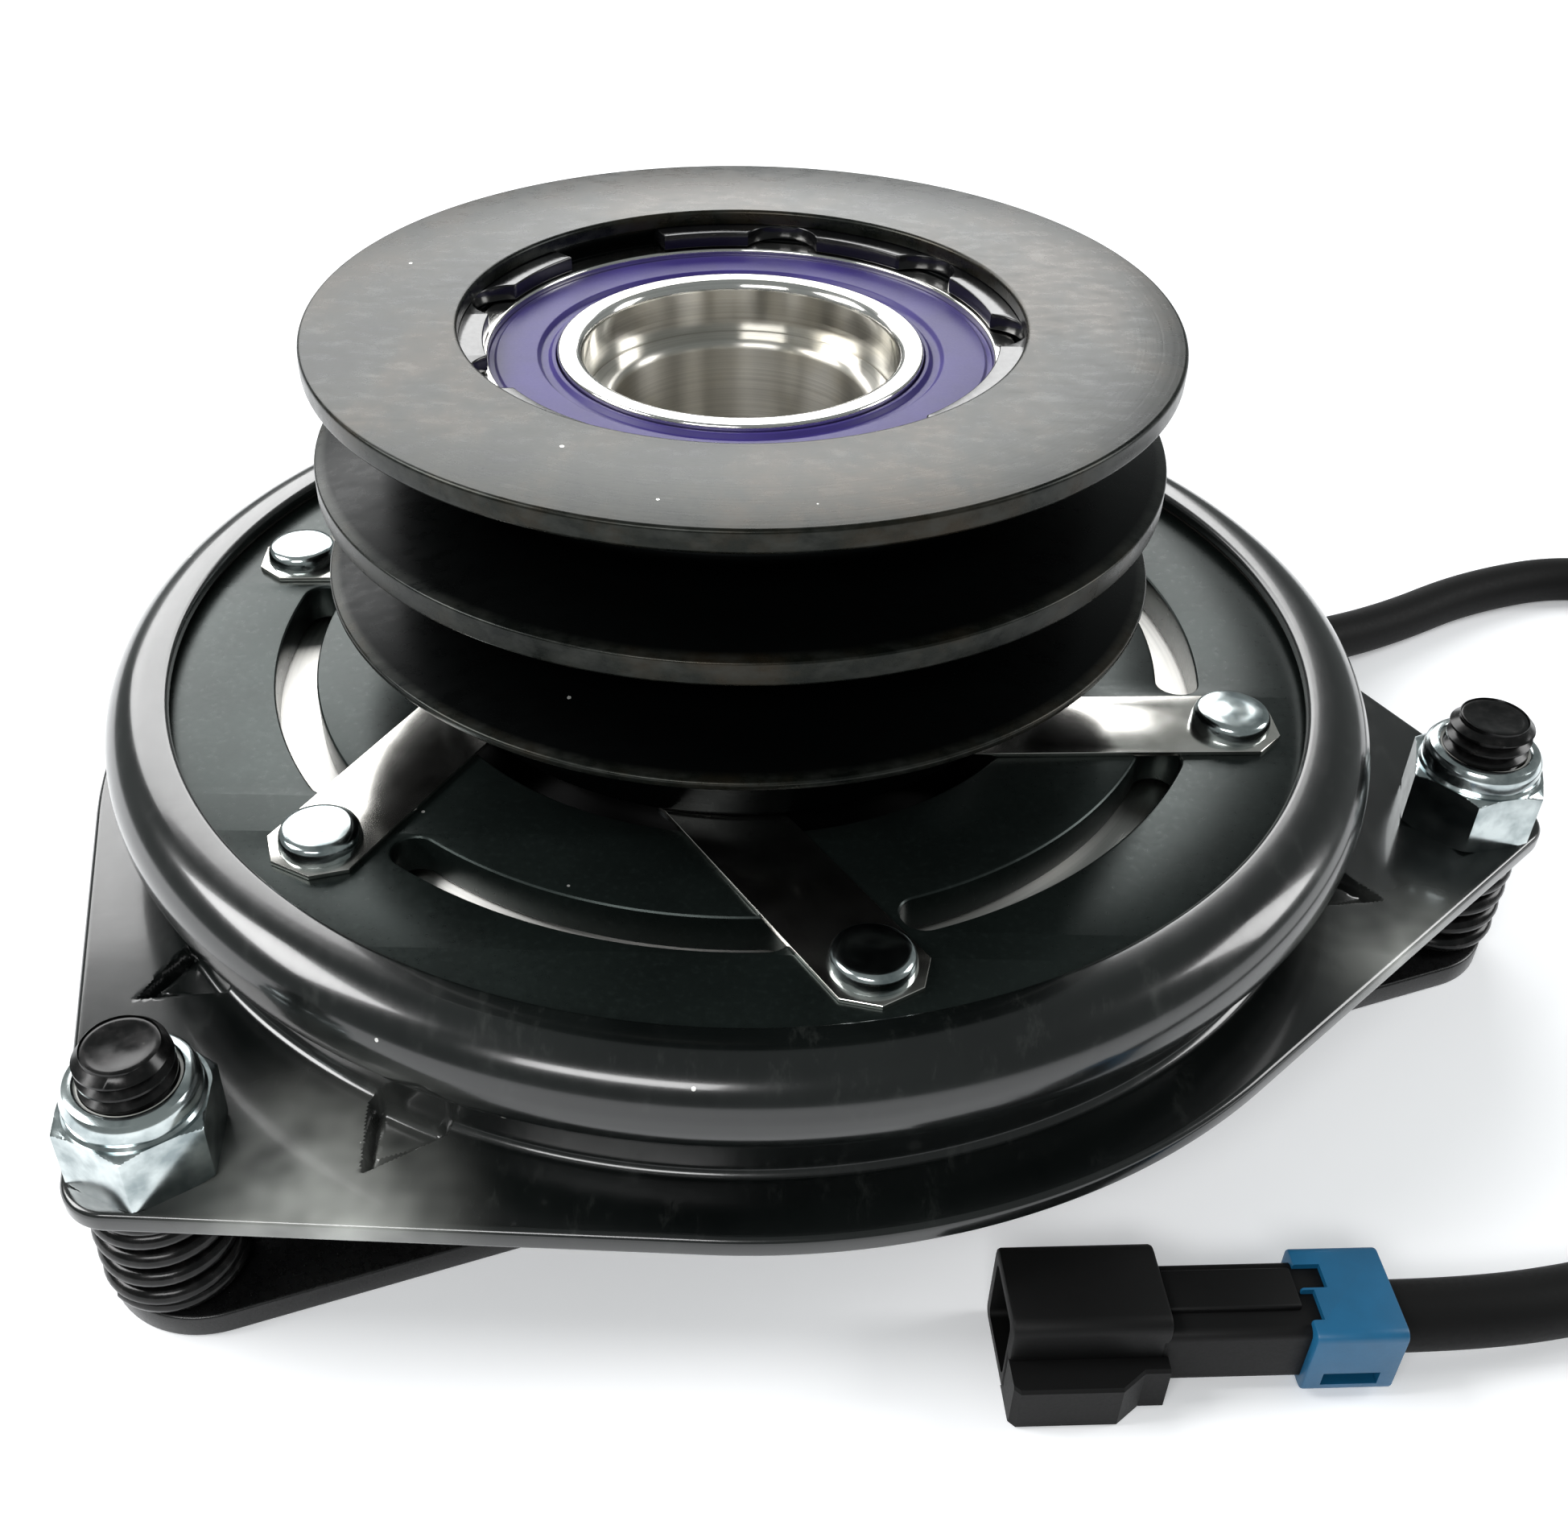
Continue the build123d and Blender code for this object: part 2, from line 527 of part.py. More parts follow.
# ---------------------------------------------------------------- studs, lock nuts and brake springs
with BuildPart() as studs:
    with BuildSketch():
        with PolarLocations(STUD_CIRCLE_R, 3, start_angle=EAR_ANGLES[0]):
            Circle(STUD_R)
    extrude(amount=STUD_TOP)
    chamfer(studs.faces().group_by(Axis.Z)[-1].edges(), 0.9)
finish(studs.part, "adjusting_studs")

INSERT_R, INSERT_LOW, INSERT_HIGH = 5.9, FLANGE_TOP + 7.9, NUT_TOP - 0.4
for number, ear_angle in enumerate(EAR_ANGLES, start=1):
    stud_place = around(STUD_CIRCLE_R, ear_angle)
    with BuildPart() as nut:
        with BuildSketch(Plane.XY.offset(FLANGE_TOP)):
            with Locations(stud_place):
                RegularPolygon(NUT_FLATS / 2, 6, major_radius=False, rotation=ear_angle + NUT_TURN[number - 1])
        extrude(amount=NUT_HEX_H)
        with BuildSketch(Plane.XY.offset(FLANGE_TOP + NUT_HEX_H)):
            with Locations(stud_place):
                Circle(NUT_COLLAR_R)
        extrude(amount=NUT_TOP - FLANGE_TOP - NUT_HEX_H)
        with BuildSketch(Plane.XY.offset(FLANGE_TOP)):
            with Locations(stud_place):
                Circle(NUT_BORE_R)
        extrude(amount=NUT_TOP - FLANGE_TOP, mode=Mode.SUBTRACT)
        with BuildSketch(Plane.XY.offset(INSERT_LOW)):
            with Locations(stud_place):
                Circle(INSERT_R)
        extrude(amount=INSERT_HIGH - INSERT_LOW, mode=Mode.SUBTRACT)
    finish(nut.part, f"lock_nut_{number}")

    with BuildPart() as insert:
        with BuildSketch(Plane.XY.offset(INSERT_LOW)):
            with Locations(stud_place):
                Circle(INSERT_R)
                Circle(NUT_BORE_R, mode=Mode.SUBTRACT)
        extrude(amount=INSERT_HIGH - INSERT_LOW)
    finish(insert.part, f"nylon_insert_{number}")

    spring_height = FLANGE_LOW - PLATE_T - 2 * SPRING_WIRE_R
    with BuildPart() as spring:
        with BuildLine() as spring_line:
            Helix(
                pitch=spring_height / SPRING_TURNS,
                height=spring_height,
                radius=SPRING_R,
                center=around(STUD_CIRCLE_R, ear_angle, PLATE_T + SPRING_WIRE_R),
            )
        with BuildSketch(Plane(origin=spring_line.line @ 0, z_dir=spring_line.line % 0)):
            Circle(SPRING_WIRE_R)
        sweep()
    finish(spring.part, f"brake_spring_{number}")

# ---------------------------------------------------------------- lead: grommet, sleeve, connector
exit_dir = Vector(around(1, LEAD_ANGLE))
with BuildPart() as grommet:
    with BuildSketch(Plane(origin=around(GROMMET_IN_R, LEAD_ANGLE, LEAD_EXIT_Z), z_dir=exit_dir)):
        Circle(GROMMET_R)
        Circle(LEAD_R, mode=Mode.SUBTRACT)
    extrude(amount=GROMMET_OUT_R - GROMMET_IN_R)
finish(grommet.part, "lead_grommet")

# The sleeve's route: out through the grommet, down to the floor and round one open bend to the connector.
lead_route = [
    around(GROMMET_IN_R, LEAD_ANGLE, LEAD_EXIT_Z),
    around(81.5, LEAD_ANGLE, LEAD_EXIT_Z),
    (88.0, 45.5, 5.4),
    (103.0, 54.2, 3.6),
    (119.5, 65.0, 3.5),
    (139.0, 71.3, 3.5),
    (156.5, 64.0, 3.5),
    (166.0, 47.0, 3.5),
    (168.0, 26.0, 3.5),
    (164.0, 4.0, 3.5),
    (155.0, -17.0, 3.5),
    (143.0, -35.0, 3.5),
    (128.0, -50.5, 3.5),
    (113.0, -61.2, 3.5),
    (100.0, -68.0, 3.7),
    (88.5, -72.3, 4.8),
    (75.5, -75.34, 5.5),
    (66.0, -75.9, 5.5),
]


def corner_radii(route):
    """The largest arc each corner of a route takes: 0.45 of its shorter run over the tangent of half the turn."""
    radii = []
    for before, corner, after in zip(route, route[1:], route[2:]):
        run_in = Vector(corner) - Vector(before)
        run_out = Vector(after) - Vector(corner)
        half_turn = radians(run_in.get_angle(run_out)) / 2
        radii.append(0.45 * min(run_in.length, run_out.length) / tan(half_turn))
    return radii


lead_radii = corner_radii(lead_route)
with BuildPart() as lead:
    with BuildLine() as lead_line:
        FilletPolyline(*lead_route, radius=lead_radii)
    with BuildSketch(Plane(origin=lead_line.line @ 0, z_dir=lead_line.line % 0)):
        Circle(LEAD_R)
    sweep()
finish(lead.part, "lead_sleeve")
lead_length = sum(edge.length for edge in lead_line.edges())
print("lead radii", [round(radius) for radius in lead_radii])
print("lead length", round(lead_length, 1), "volume ratio", round(lead.part.volume / (pi * LEAD_R**2 * lead_length), 4))

# The connector lies on the floor, in line with the sleeve's last run. In its sketches X points to one side and Y up.
CONNECTOR_L, BODY_W, BODY_H, BODY_CORNER = 38.5, 8.6, 7.6, 1.0
MOUTH_L, MOUTH_W, MOUTH_H, MOUTH_SHIFT, MOUTH_CORNER = 15.5, 10.2, 11.0, -0.8, 1.4
SOCKET_W, SOCKET_H, SOCKET_DEPTH = 7.4, 8.2, 12.5
RAIL_W, RAIL_H, RAIL_TAPER_FROM, RAIL_TAPER_TO, RAIL_TAIL_W = 3.5, 6.0, 10.5, 13.0, 1.6
LOCK_L, LOCK_W, LOCK_H, LOCK_FROM = 9.0, 10.8, 9.0, 0.4
BLADE_GAP, BLADE_W, BLADE_T, BLADE_L = 3.6, 0.8, 2.8, 7.0
sleeve_end = Vector(lead_route[-1])
to_mouth = (sleeve_end - Vector(lead_route[-2])).normalized()
to_side = Vector(0, 0, 1).cross(to_mouth)


def connector_plane(distance):
    """The cross-section of the connector at a distance from the sleeve's end."""
    return Plane(origin=sleeve_end + to_mouth * distance, x_dir=to_side, z_dir=to_mouth)


with BuildPart() as housing:
    with BuildSketch(connector_plane(0)):
        RectangleRounded(BODY_W, BODY_H, BODY_CORNER)
    extrude(amount=CONNECTOR_L - MOUTH_L + 1.0)
    with BuildSketch(connector_plane(CONNECTOR_L - MOUTH_L)):
        with Locations((MOUTH_SHIFT, 0)):
            RectangleRounded(MOUTH_W, MOUTH_H, MOUTH_CORNER)
    extrude(amount=MOUTH_L)
    with BuildSketch(connector_plane(CONNECTOR_L)):
        with Locations((MOUTH_SHIFT, 0)):
            RectangleRounded(SOCKET_W, SOCKET_H, MOUTH_CORNER / 2)
    extrude(amount=-SOCKET_DEPTH, mode=Mode.SUBTRACT)
    rail_corner = sleeve_end + to_mouth * CONNECTOR_L + to_side * (BODY_W / 2) - Vector(0, 0, MOUTH_H / 2)
    with BuildSketch(Plane(origin=rail_corner, x_dir=-to_mouth, z_dir=(0, 0, 1))):  # -Y is outward here
        with BuildLine():
            Polyline(
                (0, 1.0),
                (0, 0.6 - RAIL_W),
                (0.6, -RAIL_W),
                (RAIL_TAPER_FROM, -RAIL_W),
                (RAIL_TAPER_TO, -RAIL_TAIL_W),
                (MOUTH_L, -RAIL_TAIL_W),
                (MOUTH_L, 1.0),
                close=True,
            )
        make_face()
    extrude(amount=RAIL_H)
finish(housing.part, "connector_housing")

with BuildPart() as lock:
    with BuildSketch(connector_plane(LOCK_FROM)):
        RectangleRounded(LOCK_W, LOCK_H, BODY_CORNER)
        RectangleRounded(BODY_W, BODY_H, BODY_CORNER, mode=Mode.SUBTRACT)
    extrude(amount=LOCK_L)
    with BuildSketch(connector_plane(LOCK_FROM + LOCK_L)):  # stepped notches in the edge that faces the mouth
        with Locations((-LOCK_W / 4 + 1.0, LOCK_H / 2)):
            Rectangle(LOCK_W / 4, LOCK_H / 2)
    extrude(amount=-2.6, mode=Mode.SUBTRACT)
    with BuildSketch(connector_plane(LOCK_FROM + LOCK_L / 2 - 2.8)):  # window in the side wall
        with Locations((LOCK_W / 2, -LOCK_H / 4)):
            Rectangle(LOCK_W / 4, 1.8)
    extrude(amount=5.6, mode=Mode.SUBTRACT)
finish(lock.part, "connector_lock")

with BuildPart() as blades:
    with BuildSketch(connector_plane(CONNECTOR_L - SOCKET_DEPTH)):
        with Locations((MOUTH_SHIFT - BLADE_GAP / 2, 0), (MOUTH_SHIFT + BLADE_GAP / 2, 0)):
            Rectangle(BLADE_W, BLADE_T)
    extrude(amount=BLADE_L)
finish(blades.part, "connector_terminals")
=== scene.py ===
import json
from math import acos, asin, atan2, cos, degrees, pi, radians, sin, sqrt, tan

import bmesh
import bpy
from mathutils import Matrix, Vector


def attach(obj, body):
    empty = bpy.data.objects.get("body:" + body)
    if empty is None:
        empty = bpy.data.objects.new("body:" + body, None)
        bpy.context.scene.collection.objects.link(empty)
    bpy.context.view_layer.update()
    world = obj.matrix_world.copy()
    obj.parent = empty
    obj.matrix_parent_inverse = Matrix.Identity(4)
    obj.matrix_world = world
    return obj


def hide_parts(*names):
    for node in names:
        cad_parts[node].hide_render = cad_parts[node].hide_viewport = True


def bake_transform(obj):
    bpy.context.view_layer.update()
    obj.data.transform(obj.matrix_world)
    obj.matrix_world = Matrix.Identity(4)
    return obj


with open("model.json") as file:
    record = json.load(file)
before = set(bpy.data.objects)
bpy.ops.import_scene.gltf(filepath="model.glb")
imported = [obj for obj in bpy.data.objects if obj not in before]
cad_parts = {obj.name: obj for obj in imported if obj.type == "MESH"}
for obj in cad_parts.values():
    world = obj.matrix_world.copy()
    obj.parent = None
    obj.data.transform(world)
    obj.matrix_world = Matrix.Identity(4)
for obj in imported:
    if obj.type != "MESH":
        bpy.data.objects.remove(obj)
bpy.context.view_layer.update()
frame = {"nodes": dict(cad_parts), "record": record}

# Lengths in this script are millimetres in the row frame, and MM turns them into metres.
MM = 0.001
EAR_ANGLES = [231.2, 351.2, 111.2]
STUD_CIRCLE_R, STUD_TOP = 90.4, 34.7
FLANGE_LOW, FLANGE_TOP = 17.7, 20.1
RIVET_CIRCLE_R, RIVET_START, STRIP_SKEW, STRIP_REACH = 60.0, 223.5, 19.0, 34.0
ARMATURE_LOW, ARMATURE_TOP, STRIP_T = 30.0, 34.8, 0.6
STRIP_COUNT = 6
MERGE_WITHIN = 1e-6  # metres


# -------------------------------- shapes
def around(radius, angle, height=0.0):
    """A point at a polar place about the spin axis."""
    return Vector((radius * cos(radians(angle)), radius * sin(radians(angle)), height))


def beside(centre, radius, angle, height):
    """A point at a polar place about any upright axis, with the angle in radians."""
    return (centre[0] + radius * cos(angle), centre[1] + radius * sin(angle), height)


def arc(centre, radius, start, end, step):
    """Points along an arc in a plane, ends included, at most about a step of degrees apart."""
    count = max(2, int(abs(end - start) / step) + 1)
    turns = [radians(start + (end - start) * i / count) for i in range(count + 1)]
    return [(centre[0] + radius * cos(t), centre[1] + radius * sin(t)) for t in turns]


def rounded(corners):
    """A closed outline of (x, y, corner radius) as plain points, each corner turned into an arc."""
    points = []
    for i, (x, y, radius) in enumerate(corners):
        here = Vector((x, y))
        before = Vector(corners[i - 1][:2]) - here
        after = Vector(corners[(i + 1) % len(corners)][:2]) - here
        if radius == 0:
            points.append((x, y))
            continue
        half = before.angle(after) / 2
        reach = min(radius / tan(half), 0.48 * before.length, 0.48 * after.length)
        radius = reach * tan(half)
        first = here + before.normalized() * reach
        last = here + after.normalized() * reach
        centre = here + (before.normalized() + after.normalized()).normalized() * radius / sin(half)
        turn_from = atan2(first.y - centre.y, first.x - centre.x)
        turn = atan2(last.y - centre.y, last.x - centre.x) - turn_from
        turn = (turn + pi) % (2 * pi) - pi
        count = max(2, int(abs(degrees(turn)) / 12))
        for k in range(count + 1):
            angle = turn_from + turn * k / count
            points.append((centre.x + radius * cos(angle), centre.y + radius * sin(angle)))
    return points


def placed(name, data):
    """A new object in the scene."""
    obj = bpy.data.objects.new(name, data)
    bpy.context.scene.collection.objects.link(obj)
    return obj


def evaluated_mesh(obj):
    """The mesh that an object shows, with its modifiers or its curve's bevel applied."""
    return bpy.data.meshes.new_from_object(obj.evaluated_get(bpy.context.evaluated_depsgraph_get()))


def shade(mesh, sharp):
    """Smooth shading with sharp edges above an angle."""
    mesh.polygons.foreach_set("use_smooth", [True] * len(mesh.polygons))
    mesh.set_sharp_from_angle(angle=radians(sharp))


def cleaned(mesh, sharp):
    """The mesh with doubled points merged, its faces turned outwards, and its shading set."""
    clean = bmesh.new()
    clean.from_mesh(mesh)
    bmesh.ops.remove_doubles(clean, verts=clean.verts, dist=MERGE_WITHIN)
    bmesh.ops.recalc_face_normals(clean, faces=clean.faces)
    clean.to_mesh(mesh)
    clean.free()
    shade(mesh, sharp)
    return mesh


def new_mesh(name, points, faces, sharp=32):
    """A mesh from points in millimetres, smooth but for edges sharper than the given angle."""
    mesh = bpy.data.meshes.new(name)
    mesh.from_pydata([Vector(p) * MM for p in points], [], faces)
    return cleaned(mesh, sharp)


def grid_faces(rows, columns, wrap_rows=False, wrap_columns=False):
    """Quads over a grid of points that were listed row by row."""
    faces = []
    for i in range(rows if wrap_rows else rows - 1):
        for j in range(columns if wrap_columns else columns - 1):
            a = i * columns + j
            b = i * columns + (j + 1) % columns
            c = (i + 1) % rows * columns + (j + 1) % columns
            d = (i + 1) % rows * columns + j
            faces.append((a, b, c, d))
    return faces


def turned(name, outline, segments=240):
    """A closed outline of (radius, height) turned about the spin axis."""
    points = []
    for i in range(segments):
        points += [beside((0, 0), radius, 2 * pi * i / segments, height) for radius, height in outline]
    return new_mesh(name, points, grid_faces(segments, len(outline), True, True))


def plate(name, outlines, low, high, bevel, sharp=32):
    """A flat plate with rounded edges: the first outline is its edge, the others are holes."""
    curve = bpy.data.curves.new(name, "CURVE")
    curve.dimensions = "2D"
    curve.fill_mode = "BOTH"
    curve.extrude = ((high - low) / 2 - bevel) * MM
    curve.bevel_depth = bevel * MM
    curve.bevel_resolution = 2
    curve.offset = -bevel * MM
    for number, outline in enumerate(outlines):
        area = sum(a[0] * b[1] - b[0] * a[1] for a, b in zip(outline, outline[1:] + outline[:1]))
        if (area > 0) != (number == 0):
            outline = outline[::-1]
        spline = curve.splines.new("POLY")
        spline.points.add(len(outline) - 1)
        for place, point in zip(spline.points, outline):
            place.co = (point[0] * MM, point[1] * MM, 0, 1)
        spline.use_cyclic_u = True
    holder = placed(name, curve)
    mesh = evaluated_mesh(holder)
    bpy.data.objects.remove(holder)
    mesh.transform(Matrix.Translation((0, 0, (low + high) / 2 * MM)))
    return cleaned(mesh, sharp)


def joined(name, meshes):
    """Several meshes as one."""
    whole = bmesh.new()
    for mesh in meshes:
        whole.from_mesh(mesh)
    mesh = bpy.data.meshes.new(name)
    whole.to_mesh(mesh)
    whole.free()
    return mesh


def cut(mesh, cutters, sharp=32):
    """The mesh with each cutter mesh taken away from it."""
    work = placed("work", mesh)
    helpers = [work]
    for cutter in cutters:
        tool = placed("tool", cutter)
        helpers.append(tool)
        step = work.modifiers.new("cut", "BOOLEAN")
        step.object = tool
        step.solver = "EXACT"
    result = evaluated_mesh(work)
    for helper in helpers:
        bpy.data.objects.remove(helper)
    shade(result, sharp)
    return result


def piece(name, mesh, body, slot, *nodes, look=None):
    """Puts a mesh in the scene in place of CAD nodes, in its slot's look unless it has its own."""
    obj = placed(name, mesh)
    mesh.materials.clear()
    mesh.materials.append(look or slot_looks[slot])
    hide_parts(*nodes)
    if body:
        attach(obj, body)
    return obj


# -------------------------------- materials
SPECK_R = 0.09  # share of a cell
SPOT_CORE, SPOT_FALLOFF = 0.1, 2.5  # share of the reach that is full, and how fast the rest fades
SPECK_GREY = (0.6, 0.6, 0.58)


class Look:
    """A procedural material, built up from noise in the row frame."""

    def __init__(self, name, metallic, roughness, **shader):
        self.material = bpy.data.materials.new(name)
        self.material.use_nodes = True
        self.tree = self.material.node_tree
        self.shader = next(node for node in self.tree.nodes if node.type == "BSDF_PRINCIPLED")
        self.place = self.node("ShaderNodeTexCoord").outputs["Object"]
        self.shader.inputs["Metallic"].default_value = metallic
        self.shader.inputs["Roughness"].default_value = roughness
        for socket, value in shader.items():
            self.shader.inputs[socket.replace("_", " ")].default_value = value
        self.height = None

    def node(self, kind, **values):
        made = self.tree.nodes.new(kind)
        for name, value in values.items():
            setattr(made, name, value)
        return made

    def link(self, source, target):
        self.tree.links.new(source, target)

    def maths(self, operation, first, second=0.0):
        """A sum on two values, each a number or a socket."""
        made = self.node("ShaderNodeMath", operation=operation)
        for value, socket in ((first, made.inputs[0]), (second, made.inputs[1])):
            if isinstance(value, (int, float)):
                socket.default_value = value
            else:
                self.link(value, socket)
        return made.outputs[0]

    def noise(self, size, detail, place=None, rough=0.55):
        """Noise whose features are about size millimetres across, from 0 to 1."""
        made = self.node("ShaderNodeTexNoise")
        made.inputs["Scale"].default_value = 1 / (size * MM)
        made.inputs["Detail"].default_value = detail
        made.inputs["Roughness"].default_value = rough
        self.link(place or self.place, made.inputs["Vector"])
        return made.outputs[0]

    def stretched(self, x, y, z):
        """The object's coordinates, stretched so that noise in them draws out into streaks."""
        made = self.node("ShaderNodeMapping")
        made.inputs["Scale"].default_value = (x, y, z)
        self.link(self.place, made.inputs["Vector"])
        return made.outputs[0]

    def radius(self):
        """Distance from the spin axis in metres."""
        parts = self.node("ShaderNodeSeparateXYZ")
        self.link(self.place, parts.inputs[0])
        across = self.maths("POWER", parts.outputs[0], 2.0)
        along = self.maths("POWER", parts.outputs[1], 2.0)
        return self.maths("SQRT", self.maths("ADD", across, along))

    def height_at(self):
        """Height above the floor in metres."""
        parts = self.node("ShaderNodeSeparateXYZ")
        self.link(self.place, parts.inputs[0])
        return parts.outputs[2]

    def rings(self):
        """Coordinates that are the same all round the spin axis, for a turned surface's fine rings."""
        made = self.node("ShaderNodeCombineXYZ")
        self.link(self.radius(), made.inputs[0])
        self.link(self.height_at(), made.inputs[2])
        return made.outputs[0]

    def ramp(self, value, *stops):
        """A colour ramp over (position, colour) stops, where a colour may be one grey number."""
        made = self.node("ShaderNodeValToRGB")
        made.color_ramp.elements[0].position = stops[0][0]
        made.color_ramp.elements[-1].position = stops[-1][0]
        for position, _ in stops[1:-1]:
            made.color_ramp.elements.new(position)
        for element, (_, colour) in zip(made.color_ramp.elements, stops):
            shade_of = (colour,) * 3 if isinstance(colour, (int, float)) else colour
            element.color = (*shade_of, 1)
        self.link(value, made.inputs[0])
        return made.outputs[0]

    def mix(self, share, first, second):
        """One colour over another, by a share from 0 to 1."""
        made = self.node("ShaderNodeMix", data_type="RGBA")
        for value, socket in ((share, made.inputs[0]), (first, made.inputs[6]), (second, made.inputs[7])):
            if isinstance(value, (int, float)):
                socket.default_value = value
            elif isinstance(value, tuple):
                socket.default_value = (*value, 1)
            else:
                self.link(value, socket)
        return made.outputs[2]

    def specks(self, size, share):
        """Round specks, 1 inside and 0 outside, over about that share of the cells of that size."""
        cells = self.node("ShaderNodeTexVoronoi")
        cells.inputs["Scale"].default_value = 1 / (size * MM)
        self.link(self.place, cells.inputs["Vector"])
        near = self.maths("LESS_THAN", cells.outputs["Distance"], SPECK_R)
        chosen = self.node("ShaderNodeSeparateColor")
        self.link(cells.outputs["Color"], chosen.inputs[0])
        return self.maths("MULTIPLY", near, self.maths("LESS_THAN", chosen.outputs[0], share))

    def near(self, point, reach):
        """1 at a point in millimetres, fading to 0 at a distance."""
        apart = self.node("ShaderNodeVectorMath", operation="DISTANCE")
        self.link(self.place, apart.inputs[0])
        apart.inputs[1].default_value = Vector(point) * MM
        closeness = self.fade(apart.outputs["Value"], SPOT_CORE * reach * MM, reach * MM)
        return self.maths("POWER", closeness, SPOT_FALLOFF)

    def fade(self, value, full, gone):
        """1 up to one value and 0 from another on."""
        made = self.node("ShaderNodeMapRange")
        made.inputs["From Min"].default_value = full
        made.inputs["From Max"].default_value = gone
        made.inputs["To Min"].default_value = 1.0
        made.inputs["To Max"].default_value = 0.0
        self.link(value, made.inputs["Value"])
        return made.outputs[0]

    def colour(self, value):
        self.link(value, self.shader.inputs["Base Color"])

    def shine(self, hidden, full, least):
        """How mirror-like it is: full where hidden is 0, and least where it is 1, as where shade is painted
        into grooves.
        """
        spread = self.maths("MULTIPLY", hidden, least - full)
        self.link(self.maths("ADD", spread, full), self.shader.inputs["Specular IOR Level"])

    def roughness(self, value, low, high):
        """Roughness between two limits, as value goes from 0 to 1."""
        spread = self.maths("MULTIPLY", value, high - low)
        self.link(self.maths("ADD", spread, low), self.shader.inputs["Roughness"])

    def bump(self, value, depth, strength):
        """Adds relief of a depth in millimetres on top of what is there."""
        made = self.node("ShaderNodeBump")
        made.inputs["Distance"].default_value = depth * MM
        made.inputs["Strength"].default_value = strength
        self.link(value, made.inputs["Height"])
        if self.height:
            self.link(self.height, made.inputs["Normal"])
        self.height = made.outputs[0]
        self.link(self.height, self.shader.inputs["Normal"])


def blackened_steel():
    """Turned steel, chemically blackened: mottled on the pulley's top and rims, with painted shade making its
    grooves near black and dull.
    """
    look = Look("blackened_steel", 0.65, 0.3, Anisotropic=0.3)
    cloud = look.noise(15, 6, look.stretched(1.0, 0.6, 1.0), 0.65)
    fine = look.noise(1.8, 6, look.stretched(0.5, 1.0, 1.0), 0.65)
    base = look.ramp(
        cloud,
        (0.38, (0.0025, 0.004, 0.0036)),
        (0.48, (0.0075, 0.009, 0.0066)),
        (0.6, (0.021, 0.0165, 0.0102)),
    )
    base = look.mix(look.ramp(fine, (0.44, 0.0), (0.68, 0.6)), base, (0.033, 0.035, 0.031))
    # Painted shade: inside the rims and below the top flange, the grooves are painted near black and their
    # reflection is turned down.
    shaded_inside_rim = look.fade(look.radius(), 46.6 * MM, 47.4 * MM)
    groove = look.maths("MULTIPLY", shaded_inside_rim, look.fade(look.height_at(), 74.8 * MM, 75.4 * MM))
    base = look.mix(groove, base, (0.0025, 0.003, 0.003))
    look.shine(groove, 0.38, 0.06)
    look.colour(look.mix(look.specks(2.4, 0.03), base, (0.7, 0.7, 0.67)))
    ring = look.noise(0.35, 2, look.rings())
    look.roughness(fine, 0.16, 0.42)
    look.bump(ring, 0.02, 0.3)
    look.bump(look.noise(0.5, 2), 0.01, 0.25)
    return look.material


# Light patches on the ears' coat, partly dust and partly painted sheen, and how far each spreads, in
# millimetres.
DUST_AND_SHEEN_SPOTS = [(-42.0, -73.0, 20.0), (-37.0, -79.0, 20.0), (77.0, -40.0, 20.0)]
DUST_AND_SHEEN_REACH, DUST_AND_SHEEN_TONE = 19.0, (0.4, 0.41, 0.385)


def gloss_black():
    """Black coat over pressed sheet: deep, glossy, a little uneven, with light patches on the ears that are
    partly dust and partly painted sheen.
    """
    look = Look("gloss_black", 0.0, 0.2, IOR=1.52, Coat_Weight=0.4, Coat_Roughness=0.08)
    cloud = look.noise(14, 5)
    streak = look.noise(3, 7, look.stretched(1.0, 0.4, 0.6), 0.72)
    base = look.ramp(cloud, (0.35, (0.0024, 0.0032, 0.0031)), (0.7, (0.0055, 0.007, 0.0066)))
    base = look.mix(look.ramp(streak, (0.56, 0.0), (0.8, 0.3)), base, (0.072, 0.078, 0.072))
    patches = look.ramp(look.noise(9, 2), (0.3, 0.25), (0.62, 1.0))
    for spot in DUST_AND_SHEEN_SPOTS:
        # Painted sheen mixed with dust: the coat is lightened near each spot.
        dust_and_sheen = look.maths("MULTIPLY", look.near(spot, DUST_AND_SHEEN_REACH), patches)
        base = look.mix(dust_and_sheen, base, DUST_AND_SHEEN_TONE)
    look.colour(look.mix(look.specks(3.0, 0.025), base, SPECK_GREY))
    look.roughness(streak, 0.12, 0.3)
    look.bump(look.noise(3, 3), 0.03, 0.3)
    look.bump(look.noise(0.5, 2), 0.006, 0.25)
    return look.material


def satin_black(name, tone, low, high, metallic):
    """Dark satin steel with a fine pressed grain."""
    look = Look(name, metallic, 0.4)
    cloud = look.noise(12, 6)
    grain = look.noise(0.7, 4)
    dark = tuple(0.72 * part for part in tone)
    base = look.ramp(cloud, (0.35, dark), (0.65, tone))
    base = look.mix(look.ramp(grain, (0.55, 0.0), (0.8, 0.3)), base, tuple(2.2 * part for part in tone))
    look.colour(look.mix(look.specks(2.8, 0.03), base, SPECK_GREY))
    look.roughness(grain, low, high)
    look.bump(grain, 0.012, 0.4)
    return look.material


